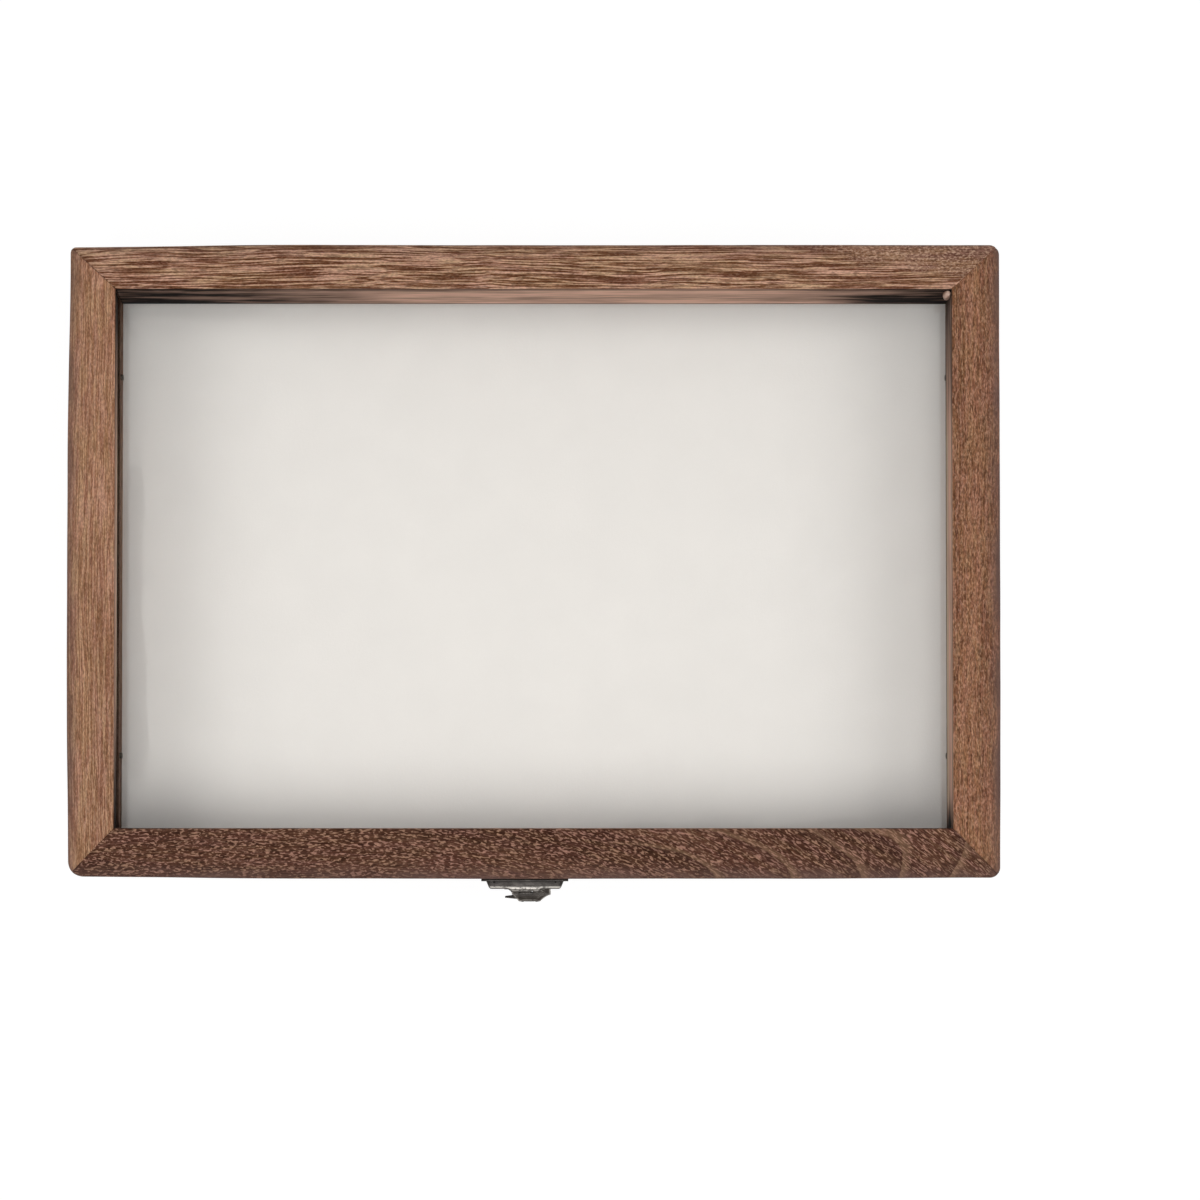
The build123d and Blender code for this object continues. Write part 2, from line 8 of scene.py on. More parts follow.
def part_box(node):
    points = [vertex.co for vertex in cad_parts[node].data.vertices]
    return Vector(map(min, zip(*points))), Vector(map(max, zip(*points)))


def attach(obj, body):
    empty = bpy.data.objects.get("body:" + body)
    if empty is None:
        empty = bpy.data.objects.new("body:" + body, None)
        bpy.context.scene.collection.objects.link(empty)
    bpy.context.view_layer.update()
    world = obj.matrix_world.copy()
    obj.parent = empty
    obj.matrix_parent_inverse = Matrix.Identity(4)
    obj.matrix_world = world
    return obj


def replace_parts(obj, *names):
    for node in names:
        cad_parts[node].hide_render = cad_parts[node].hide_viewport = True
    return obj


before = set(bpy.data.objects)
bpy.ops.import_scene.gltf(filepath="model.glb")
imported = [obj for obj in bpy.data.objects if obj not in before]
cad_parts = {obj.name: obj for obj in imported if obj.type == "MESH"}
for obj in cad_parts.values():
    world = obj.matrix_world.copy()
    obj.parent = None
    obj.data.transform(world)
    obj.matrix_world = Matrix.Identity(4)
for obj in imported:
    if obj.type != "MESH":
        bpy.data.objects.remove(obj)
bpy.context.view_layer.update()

bl_info = {
    "name": "Insect Display Case",
    "version": (1, 0, 0),
    "blender": (4, 5, 0),
    "location": "3D View > Sidebar > Display Case",
    "description": "Dresses a wooden, glazed insect display case around its packed parts",
    "category": "Object",
}

# Lengths are in metres, in the frame's own axes: +X right, +Y back, +Z up, the latch at the front
MM = 0.001

# Places read from the frame
FRONT_RAIL_LOW, FRONT_RAIL_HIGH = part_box("lid_front_rail")
BACK_RAIL_LOW, BACK_RAIL_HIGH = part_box("lid_back_rail")
RIGHT_RAIL_LOW, RIGHT_RAIL_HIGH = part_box("lid_right_rail")
GLASS_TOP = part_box("glass_pane")[1].z
PANEL_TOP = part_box("bottom_panel")[1].z
FOAM_LOW, FOAM_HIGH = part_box("pinning_foam")

HALF_WIDTH = RIGHT_RAIL_HIGH.x
HALF_DEPTH = BACK_RAIL_HIGH.y
SEAM = FRONT_RAIL_LOW.z
LID_TOP = FRONT_RAIL_HIGH.z
WALL_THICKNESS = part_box("base_left_wall")[1].x + HALF_WIDTH

# Each side's outward direction in plan, and how far in its lid rail reaches
SIDES = {"front": (0, -1), "back": (0, 1), "left": (-1, 0), "right": (1, 0)}
RAIL_WIDTHS = {
    "front": FRONT_RAIL_HIGH.y + HALF_DEPTH,
    "back": HALF_DEPTH - BACK_RAIL_LOW.y,
    "left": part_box("lid_left_rail")[1].x + HALF_WIDTH,
    "right": HALF_WIDTH - RIGHT_RAIL_LOW.x,
}
WALL_WIDTHS = {side: WALL_THICKNESS for side in SIDES}
GLASS_LIP = RAIL_WIDTHS["front"] - (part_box("glazing_bead_front")[0].y + HALF_DEPTH)
PANEL_REBATE = 4.0 * MM

# The upright corners are sanded by hand, each to its own radius
CORNER_RADII = {
    ("front", "left"): 6.0 * MM,
    ("front", "right"): 4.0 * MM,
    ("back", "left"): 3.0 * MM,
    ("back", "right"): 3.5 * MM,
}

# Sanding also draws both outer faces in towards each corner
CORNER_TAPERS = {
    ("front", "left"): 0.7 * MM,
    ("front", "right"): 0.3 * MM,
    ("back", "left"): 0.8 * MM,
    ("back", "right"): 0.0,
}
TAPER_LENGTH = 75.0 * MM

# How plainly the line between two rails shows at each corner
MITRE_STRENGTHS = {
    ("front", "left"): 0.35,
    ("front", "right"): 0.6,
    ("back", "left"): 0.6,
    ("back", "right"): 0.06,
}

# How far each inner face darkens from each of its ends
INNER_DARKENING_REACHES = {
    ("front", "left"): 40.0 * MM,
    ("front", "right"): 40.0 * MM,
    ("back", "left"): 75.0 * MM,
    ("back", "right"): 44.0 * MM,
    ("left", "front"): 34.0 * MM,
    ("left", "back"): 42.0 * MM,
    ("right", "front"): 9.0 * MM,
    ("right", "back"): 36.0 * MM,
}

# How strongly each outer edge is darkened
EDGE_STRENGTHS = {"front": 1.0, "back": 0.45, "left": 1.0, "right": 1.3}

# How much further in than its top edge each rail's inner face is at its foot
INNER_LEANS = {"front": 0.0, "back": 2.3 * MM, "left": -1.5 * MM, "right": 0.0}

# Rounds of the wooden profiles
TOP_EDGE_ROUND = 1.5 * MM
SMALL_EDGE_ROUND = 0.5 * MM
FINE_EDGE_ROUND = 0.25 * MM
ARC_STEPS = 5
PROFILE_STEP = 1.0 * MM
SEAM_STRIP = 0.15 * MM

# How deep under the outer face its waves die out, and under the top face its dips do
OUTER_FADE = (2.0 * MM, 8.0 * MM)
TOP_FADE = (1.0 * MM, 3.0 * MM)

# How far beside a hinge or the latch the wood stays flat, and where it has its full wave again
FITTING_MARGINS = (4.0 * MM, 14.0 * MM)

# Widths of the mitre's groove, of its dark line and of the dulled outer edge
GROOVE_WIDTH = 0.3 * MM
MITRE_LINE_WIDTH = 0.22 * MM
EDGE_TONE_WIDTH = 3.2 * MM

# The front rail's grain shifts by the bend times the square of the distance right of this place
GRAIN_BEND_START = -60.0 * MM
GRAIN_BEND = 1.9

# The front rail's growth rings: where along X they centre, how much depth counts, and their radii
RING_CENTRE = 22.0 * MM
RING_SQUEEZE = 2.9
RING_RADII = (39.0 * MM, 63.0 * MM, 86.0 * MM, 99.0 * MM, 121.0 * MM)

# The speckled end of the back rail: where its border meets the inner edge, and how flat it lies
SPECKLE_START = (145.0 * MM, 96.0 * MM)
SPECKLE_SLANT = 5.2

# Strengths of the grain's features on each rail, on the base's walls and on the bottom panel
LOOKS = {
    "front": {"Streaks": 0.25, "Flecks": 1.0, "Pores": 0.60, "Bands": 0.6, "Fibres": 0.24},
    "back": {"Streaks": 1.0, "Flecks": 0.14, "Pores": 0.42, "Bands": 0.3, "Fibres": 0.20},
    "left": {"Streaks": 0.36, "Flecks": 0.14, "Pores": 0.30, "Bands": 0.4, "Fibres": 0.22},
    "right": {"Streaks": 0.22, "Flecks": 0.34, "Pores": 0.55, "Bands": 0.4, "Fibres": 0.36},
    "base": {"Streaks": 0.50, "Flecks": 0.15, "Pores": 0.40, "Bands": 0.5, "Fibres": 0.15},
    "plywood": {"Streaks": 0.5, "Flecks": 0.15, "Pores": 0.35, "Bands": 0.4, "Fibres": 0.12},
}

# How the grain's tones differ from a rail's middle tone, in red, green and blue
PALE_FACTORS = (1.83, 2.29, 2.70)
DARK_FACTORS = (0.41, 0.33, 0.29)
FRONT_FLECK_FACTORS = (3.5, 4.6, 5.3)

# Tones that every piece of wood shares, in red, green, blue and alpha
EDGE_TONE = (0.165, 0.098, 0.082, 1.0)
MITRE_TONE = (0.02, 0.011, 0.008, 1.0)
# Pale and dark tones of the inner faces; the dark one also paints the shadow lines above the glass
INNER_PALE_TONE, INNER_DARK_TONE = (0.78, 0.49, 0.37, 1.0), (0.013, 0.010, 0.009, 1.0)
RING_PALE, RING_DARK = (0.40, 0.245, 0.150, 1.0), (0.045, 0.022, 0.018, 1.0)
SPECKLE_GROUNDS = (0.265, 0.130, 0.098, 1.0), (0.33, 0.172, 0.100, 1.0)
SPECKLE_DOTS, SPECKLE_HOLES = (0.64, 0.42, 0.30, 1.0), (0.080, 0.038, 0.030, 1.0)
# Tan of the painted light at the foot of the side rails' inner faces, where light off the foam and glass
# falls
FOOT_LIGHT_TONE = (0.62, 0.47, 0.34, 1.0)
GLUE_TONES = (0.30, 0.155, 0.105, 1.0), (0.62, 0.42, 0.33, 1.0)

# The latch: its middle, the line its hasp turns about, and its rolled and pressed sheets
PLATE_LOW, PLATE_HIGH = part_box("hasp_plate")
PIN_LOW, PIN_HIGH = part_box("hasp_pin")
LATCH_X = (PLATE_LOW.x + PLATE_HIGH.x) / 2.0
PIN_OUT = -HALF_DEPTH - (PIN_LOW.y + PIN_HIGH.y) / 2.0
PIN_HEIGHT = (PIN_LOW.z + PIN_HIGH.z) / 2.0
PLATE_SHEET = 0.8 * MM
PLATE_LENGTH = 12.2 * MM
PLATE_CORNER = 1.5 * MM
WING_RISE = 2.6 * MM
WING_HALF_WIDTH = 12.9 * MM
WING_HEIGHTS = (36.9 * MM, 42.8 * MM)
CROWN_RISE = 0.8 * MM
CROWN_HALF_WIDTH = 5.9 * MM
CROWN_HEIGHTS = (37.5 * MM, 42.4 * MM)
PRESSED_SLOPE = 1.5 * MM
KNUCKLE_RADIUS = 1.15 * MM
LUG_INNER, LUG_OUTER = 2.45 * MM, 4.85 * MM
HASP_SHEET = 0.9 * MM
HASP_NECK = 2.2 * MM
HASP_SHOULDER = 32.6 * MM
HASP_CORNER = 1.6 * MM
HASP_WIDE_LEFT, HASP_WIDE_RIGHT = 4.8 * MM, 8.5 * MM
HASP_LIP_LEFT, HASP_LIP_RIGHT = 3.0 * MM, 5.2 * MM
HASP_TAPER_HEIGHTS = (15.5 * MM, 23.5 * MM)
HASP_WINDOW_HALF_WIDTH = 2.5 * MM
HASP_WINDOW_HEIGHTS = (23.6 * MM, 29.4 * MM)
LIP_LINE_HEIGHT = 15.6 * MM
TANG_HEIGHT = 17.6 * MM
TANG_LENGTH = 4.4 * MM
TANG_HALF_WIDTH = 1.1 * MM
TANG_THINNING = 0.4

# The hasp's pressed lines: how far in from its edge the groove runs, and how far right the ridges start
HASP_GROOVE_IN, HASP_GROOVE_WIDTH, HASP_GROOVE_DEPTH = 1.1 * MM, 0.35 * MM, 0.12 * MM
RIDGE_START, RIDGE_SPACING, RIDGE_HEIGHT = 3.2 * MM, 1.5 * MM, 0.07 * MM
RIDGE_SLANT = 0.8

# The hasp's bent flap and the foot of its plate's lugs, seen from the side: millimetres out from the
# front face, and height
FLAP_PATH = (
    (3.2, 33.2), (3.0, 32.2), (3.05, 31.2), (3.45, 29.9), (4.1, 28.5), (4.7, 26.0),
    (5.1, 23.0), (5.65, 20.0), (6.45, 17.2), (7.0, 15.75), (7.6, 14.65),
)
LUG_PATH = ((0.4, 34.8), (0.45, 34.2), (1.1, 33.85), (2.0, 33.82))

# A drop of old glue in the back right corner above the glass
GLUE_PLACE = (137.7 * MM, 89.1 * MM)
GLUE_RADII = (1.3 * MM, 1.5 * MM)
GLUE_LENGTH = 5.0 * MM
GLUE_TOP = LID_TOP - 0.7 * MM

# How the grid along a rail crowds towards its mitres
ALONG_STEPS = 260
CROWDING = 0.7

# Wavelengths of the waves that run along a side
SIDE_WAVES = (0.31, 0.107, 0.061, 0.033)

# The foam board's grid, and the width of its rim that stays level
FOAM_STEPS = (150, 100)
FOAM_RIM = 12.0 * MM

# The soft boxes: azimuth and elevation in degrees, distance, and width and depth in metres
SOFT_BOXES = {
    "left": (-90.0, 44.0, 1.25, (0.70, 0.60)),
    "right": (90.0, 42.5, 1.25, (0.70, 0.66)),
    "front": (0.0, 62.5, 1.25, (0.60, 0.68)),
    "back": (180.0, 55.0, 1.3, (0.9, 0.5)),
}
LIT_CENTRE = Vector((0.0, 0.0, 0.03))
FLOOR_HALF = 4.0

# The camera, with the photograph's viewing angle and framing
CAMERA_PLACE = Vector((0.010, -0.103, 0.700))
CAMERA_AIM = Vector((0.0105, -0.0932, LID_TOP))
CAMERA_SHIFT = (0.0289, 0.2014)


def length_property(name, description, default, low, high):
    """A length in metres."""
    return bpy.props.FloatProperty(
        name=name, description=description, default=default, min=low, max=high, unit="LENGTH", precision=5,
    )


def power_property(name, description, default):
    """A lamp's power in watts."""
    return bpy.props.FloatProperty(
        name=name, description=description, default=default, min=0.0, max=100.0, unit="POWER",
    )


def colour_property(name, description, default):
    """A colour in linear light."""
    return bpy.props.FloatVectorProperty(
        name=name, description=description, default=default, size=3, min=0.0, max=1.0, subtype="COLOR",
    )


class CaseSettings(bpy.types.PropertyGroup):
    """Sizes of the hand work on the case."""

    edge_wave: length_property(
        "Edge wave", "How far the sanded outer faces wander inwards", 0.14 * MM, 0.0, 1.0 * MM
    )
    top_wave: length_property(
        "Top wave", "How far the rails' top faces dip", 0.12 * MM, 0.0, 0.5 * MM
    )
    shoulder_drop: length_property(
        "Shoulder drop", "How far the top face falls away towards the outer edge", 0.45 * MM, 0.0, 1.0 * MM
    )
    shoulder_width: length_property(
        "Shoulder width", "Width of the strip that falls away", 4.5 * MM, 1.0 * MM, 8.0 * MM
    )
    mitre_groove: length_property(
        "Mitre groove", "Depth of the groove where two rails meet", 0.22 * MM, 0.0, 0.5 * MM
    )
    foam_edge_round: length_property(
        "Foam edge round", "Radius of the foam board's upper edge", 0.8 * MM, 0.2 * MM, 2.0 * MM
    )
    foam_wave: length_property(
        "Foam wave", "Unevenness of the foam board's surface", 0.12 * MM, 0.0, 0.5 * MM
    )


class FinishSettings(bpy.types.PropertyGroup):
    """Colours of the finishes."""

    back_wood: colour_property("Back rail", "Middle tone of the back rail", (0.362, 0.177, 0.102))
    left_wood: colour_property("Left rail", "Middle tone of the left rail", (0.447, 0.225, 0.131))
    right_wood: colour_property("Right rail", "Middle tone of the right rail", (0.336, 0.156, 0.087))
    front_wood: colour_property("Front rail", "Middle tone of the front rail", (0.111, 0.0466, 0.0284))
    base_wood: colour_property("Base walls", "Middle tone of the base walls", (0.26, 0.130, 0.082))
    plywood: colour_property("Plywood", "Face veneer of the bottom panel", (0.48, 0.33, 0.19))
    foam: colour_property("Foam", "White foam board", (0.848, 0.780, 0.756))
    bronze: colour_property("Bronze", "Dull metal of hinges and latch", (0.070, 0.063, 0.058))
    patina: colour_property("Patina", "Dark film in the metal's hollows", (0.034, 0.031, 0.029))
    # Colour of the painted highlights on the latch's edges, ridges and lip
    worn: colour_property("Highlit edges", "Metal rubbed bare along edges", (0.62, 0.58, 0.53))


class StageSettings(bpy.types.PropertyGroup):
    """Light and camera."""

    left_light: power_property("Left light", "Power of the soft box on the left", 2.65)
    right_light: power_property("Right light", "Power of the soft box on the right", 3.85)
    front_light: power_property("Front light", "Power of the soft box above the front", 4.55)
    back_light: power_property("Back light", "Power of the soft box behind", 0.4)
    room_light: bpy.props.FloatProperty(
        name="Room light", description="Strength of the even light from all round",
        default=0.20, min=0.0, max=2.0,
    )
    lens: bpy.props.FloatProperty(
        name="Lens", description="Focal length of the camera in millimetres",
        default=59.02, min=20.0, max=200.0,
    )


def settings():
    """The three groups of settings in the scene."""
    scene = bpy.context.scene
    return scene.display_case, scene.display_case_finish, scene.display_case_stage


def ramp(values, low, high):
    """Rises as 3t^2 - 2t^3 from 0 at low to 1 at high, and is level outside them."""
    share = np.clip((values - low) / (high - low), 0.0, 1.0)
    return share * share * (3.0 - 2.0 * share)


def bell(values, width):
    """Falls as exp(-t^2) from 1 at zero, where t is the value over the width."""
    return np.exp(-((values / width) ** 2))


def wander(places, seed, wavelengths):
    """A slow curve between 0 and 1: a sum of sines with the given wavelengths and seeded phases."""
    phases = np.random.default_rng(seed).uniform(0.0, 2.0 * math.pi, len(wavelengths))
    total = np.zeros_like(places)
    for wavelength, phase in zip(wavelengths, phases):
        total = total + np.sin(2.0 * math.pi * places / wavelength + phase)
    return 0.5 + 0.5 * total / len(wavelengths)


def rounded_loop(corners, radii):
    """A closed outline: straight runs joined by arcs, each arc touching both of its runs.

    Near each arc the run has one point close by, so that shading turns in a narrow strip.
    """
    corners = np.array(corners, float)
    count = len(corners)
    arcs = []
    for index in range(count):
        here = corners[index]
        to_last = corners[index - 1] - here
        to_next = corners[(index + 1) % count] - here
        to_last = to_last / np.linalg.norm(to_last)
        to_next = to_next / np.linalg.norm(to_next)
        radius = radii[index]
        half_angle = math.acos(np.clip(to_last @ to_next, -1.0, 1.0)) / 2.0
        reach = radius / math.tan(half_angle)
        middle = (to_last + to_next) / np.linalg.norm(to_last + to_next)
        centre = here + middle * radius / math.sin(half_angle)
        start = here + to_last * reach - centre
        end = here + to_next * reach - centre
        turn = math.pi - 2.0 * half_angle
        shares = np.linspace(0.0, 1.0, ARC_STEPS + 1)[:, None]
        arc = (np.sin((1.0 - shares) * turn) * start + np.sin(shares * turn) * end) / math.sin(turn)
        arcs.append(centre + arc)
    points = []
    for index, arc in enumerate(arcs):
        points.append(arc)
        run = arcs[(index + 1) % count][0] - arc[-1]
        length = np.linalg.norm(run)
        steps = max(2, round(length / PROFILE_STEP))
        shares = np.linspace(0.0, 1.0, steps + 1)[1:-1]
        near = SEAM_STRIP / length
        shares = np.concatenate(([near], shares, [1.0 - near]))
        points.append(arc[-1] + shares[:, None] * run)
    return np.concatenate(points)


def new_piece(name, points, faces, body, material, crease=40.0):
    """A mesh object at the origin that rides on a body. Bends sharper than the crease stay sharp."""
    mesh = bpy.data.meshes.new(name)
    mesh.from_pydata(points.tolist(), [], faces)
    mesh.update()
    mesh.polygons.foreach_set("use_smooth", np.ones(len(mesh.polygons), bool))
    mesh.set_sharp_from_angle(angle=math.radians(crease))
    mesh.materials.append(material)
    piece = bpy.data.objects.new(name, mesh)
    bpy.context.scene.collection.objects.link(piece)
    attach(piece, body)
    return piece


def set_attribute(piece, name, values):
    """A number for each vertex, which the material reads by its name."""
    attribute = piece.data.attributes.new(name, "FLOAT", "POINT")
    attribute.data.foreach_set("value", np.asarray(values, np.float32).ravel())


def tube_faces(rings, around, flip):
    """Quads between neighbouring rings of points, closed by a flat face at each end."""
    ring, at = np.meshgrid(np.arange(rings - 1), np.arange(around), indexing="ij")
    after = (at + 1) % around
    quads = np.stack(
        (ring * around + at, ring * around + after, (ring + 1) * around + after, (ring + 1) * around + at),
        axis=-1,
    ).reshape(-1, 4)
    first = np.arange(around)[::-1]
    last = (rings - 1) * around + np.arange(around)
    if flip:
        quads, first, last = quads[:, ::-1], first[::-1], last[::-1]
    return quads.tolist() + [first.tolist(), last.tolist()]


def corner_pull(places, half_length, radius):
    """How far a round corner pulls the outer face in: the radius less the circle's height there."""
    past = np.clip(places - (half_length - radius), 0.0, radius)
    return radius - np.sqrt(radius * radius - past * past)


def corner_taper(places, half_length, amount):
    """How far sanding draws the outer face in near a corner: nothing, then rising smoothly to the end."""
    return amount * ramp(places, half_length - TAPER_LENGTH, half_length)


def under_fittings(places, side):
    """1 where hinges or the latch lie against a side, and 0 elsewhere. The wood stays flat there."""
    nodes = {"back": ("hinge_left_base_leaf", "hinge_right_base_leaf"), "front": ("hasp_plate",)}
    covered = np.zeros_like(places)
    for node in nodes.get(side, ()):
        low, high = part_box(node)
        middle, half = (low.x + high.x) / 2.0, (high.x - low.x) / 2.0
        flat, waved = FITTING_MARGINS
        covered = np.maximum(covered, ramp(np.abs(places - middle), half + waved, half + flat))
    return covered


def frame_piece(name, side, widths, profile, radii, high, seed, body, material):
    """One mitred side of a frame.

    Its profile, distances in from the outer face and heights, is carried along the side between the
    two mitre planes, or to the next side's inner face where it lies further in than the mitre. The
    outer face wanders and bends in at the round corners, the top dips and falls away towards the outer
    edge, and a groove follows each mitre. Everything moves inwards only.
    """
    case, _, _ = settings()
    loop = rounded_loop(profile, radii)
    inwards, heights = loop[:, 0], loop[:, 1]
    sideways = side in ("left", "right")
    half_length = HALF_DEPTH if sideways else HALF_WIDTH
    ends = ("front", "back") if sideways else ("left", "right")
    corners = [(end, side) if sideways else (side, end) for end in ends]
    is_lid = high > SEAM
    outer_share = ramp(inwards, *OUTER_FADE[::-1])
    top_share = ramp(high - heights, *TOP_FADE[::-1])

    def pulled_in(places, groove):
        """Distance in from the outer face after waves, round corners and the mitre groove."""
        wave = wander(places, seed, SIDE_WAVES) * (1.0 - under_fittings(places, side))
        amount = case.edge_wave * wave + 0.3 * case.mitre_groove * groove
        for sign, corner in zip((-1.0, 1.0), corners):
            amount = amount + corner_pull(sign * places, half_length, CORNER_RADII[corner])
            amount = amount + corner_taper(sign * places, half_length, CORNER_TAPERS[corner])
        return inwards + outer_share * amount

    limits = []
    for sign, end in zip((-1.0, 1.0), ends):
        slope = widths[end] / widths[side]
        limit = half_length - inwards * slope
        for _ in range(30):
            reach = np.minimum(pulled_in(sign * limit, 1.0), widths[side])
            limit = (limit + half_length - reach * slope) / 2.0
        limits.append(sign * limit)

    even = np.linspace(-1.0, 1.0, ALONG_STEPS + 1)
    crowded = (1.0 - CROWDING) * even + CROWDING * np.sin(even * math.pi / 2.0)
    shares = ((crowded + 1.0) / 2.0)[:, None]
    along = limits[0] * (1.0 - shares) + limits[1] * shares
    to_mitre = np.minimum(along - limits[0], limits[1] - along)
    groove = bell(to_mitre, GROOVE_WIDTH)
    depth = pulled_in(along, groove)
    shoulder = ramp(inwards, case.shoulder_width, 0.0)
    drop = case.top_wave * wander(along, seed + 1, SIDE_WAVES) + case.mitre_groove * groove
    drop = drop + (case.shoulder_drop * shoulder if is_lid else 0.0)
    height = heights - top_share * drop

    out_x, out_y = SIDES[side]
    plan = (out_x * (HALF_WIDTH - depth), along) if sideways else (along, out_y * (HALF_DEPTH - depth))
    points = np.stack((*plan, height), axis=-1).reshape(-1, 3)
    faces = tube_faces(len(along), len(loop), flip=side in ("back", "left"))
    piece = new_piece(name, points, faces, body, material)

    edge = EDGE_STRENGTHS[side] * bell(inwards, EDGE_TONE_WIDTH)
    lean = INNER_LEANS[side] if is_lid else 0.0
    foot = np.clip((high - heights) / (high - GLASS_TOP), 0.0, 1.0)
    face = widths[side] + lean * foot
    inner_face = ramp(inwards, face - 0.3 * MM, face - 0.05 * MM) * ramp(heights, high, high - 0.35 * MM)
    # How dark each inner face gets towards its two ends
    end_darkening = [
        bell(along - limit, INNER_DARKENING_REACHES[(side, end)]) for limit, end in zip(limits, ends)
    ]
    strengths = [MITRE_STRENGTHS[corner] for corner in corners]
    strength = np.where(along - limits[0] < limits[1] - along, *strengths)
    set_attribute(piece, "edge", edge * (0.65 + 0.35 * wander(along, seed + 2, SIDE_WAVES)))
    set_attribute(piece, "inner_face", np.broadcast_to(inner_face, along.shape))
    set_attribute(piece, "corner", np.maximum(*end_darkening))
    set_attribute(piece, "mitre", strength * bell(to_mitre, MITRE_LINE_WIDTH))
    return piece


def smooth_path(points, steps=8):
    """A curve through points: between two of them, the cubic whose end slopes are half the step
    between the points on either side."""
    points = np.array(points, float)
    before = np.vstack((2.0 * points[0] - points[1], points[:-2]))
    after = np.vstack((points[2:], 2.0 * points[-1] - points[-2]))
    start, end = points[:-1], points[1:]
    t = np.arange(steps)[:, None, None] / steps
    curve = 2.0 * start + (end - before) * t + (2.0 * before - 5.0 * start + 4.0 * end - after) * t ** 2
    curve = 0.5 * (curve + (3.0 * start - before - 3.0 * end + after) * t ** 3)
    return np.vstack((curve.transpose(1, 0, 2).reshape(-1, 2), points[-1]))


def knuckle(first, last, count=22):
    """An arc round the hasp's pin from one angle to another. Angle 0 is above it and 90 in front."""
    angles = np.radians(np.linspace(first, last, count))
    out = PIN_OUT + KNUCKLE_RADIUS * np.sin(angles)
    return np.stack((out, PIN_HEIGHT + KNUCKLE_RADIUS * np.cos(angles)), axis=-1)


def grid_cells(index):
    """The four corners of each cell in a grid of point numbers."""
    return np.stack((index[:-1, :-1], index[1:, :-1], index[1:, 1:], index[:-1, 1:]), axis=-1)


def sheet(middle, thickness, worn, kept=None):
    """A bent metal sheet: a grid of points thickened by half its thickness along both normals.

    Cells that aren't kept are left out. Each edge with a cell on one side only gets a side face.
    Returns the points, the faces and each point's share of painted highlight.
    """
    rows, columns = middle.shape[:2]
    normals = np.cross(np.gradient(middle, axis=0), np.gradient(middle, axis=1))
    half = normals / np.linalg.norm(normals, axis=-1, keepdims=True) * np.asarray(thickness)[..., None] / 2.0
    points = np.concatenate(((middle + half).reshape(-1, 3), (middle - half).reshape(-1, 3)))
    under = rows * columns
    cells = grid_cells(np.arange(under).reshape(rows, columns))
    cells = cells.reshape(-1, 4) if kept is None else cells[kept]
    edges = np.concatenate([cells[:, [turn, (turn + 1) % 4]] for turn in range(4)])
    forth = edges[:, 0] * under + edges[:, 1]
    back = edges[:, 1] * under + edges[:, 0]
    border = edges[~np.isin(forth, back)]
    sides = np.stack((border[:, 1], border[:, 0], border[:, 0] + under, border[:, 1] + under), axis=-1)
    faces = np.concatenate((cells, cells[:, ::-1] + under, sides))
    used, faces = np.unique(faces, return_inverse=True)
    return points[used], faces.reshape(-1, 4), np.ravel(worn)[used % under]


def metal_piece(name, shells, body):
    """Several sheets as one piece of bronze."""
    points, faces, worn = zip(*shells)
    starts = np.cumsum([0] + [len(each) for each in points])
    faces = np.concatenate([each + start for each, start in zip(faces, starts)])
    piece = new_piece(
        name, np.concatenate(points), faces.tolist(), body, bronze(), crease=100.0
    )
    set_attribute(piece, "worn", np.concatenate(worn))
    return piece


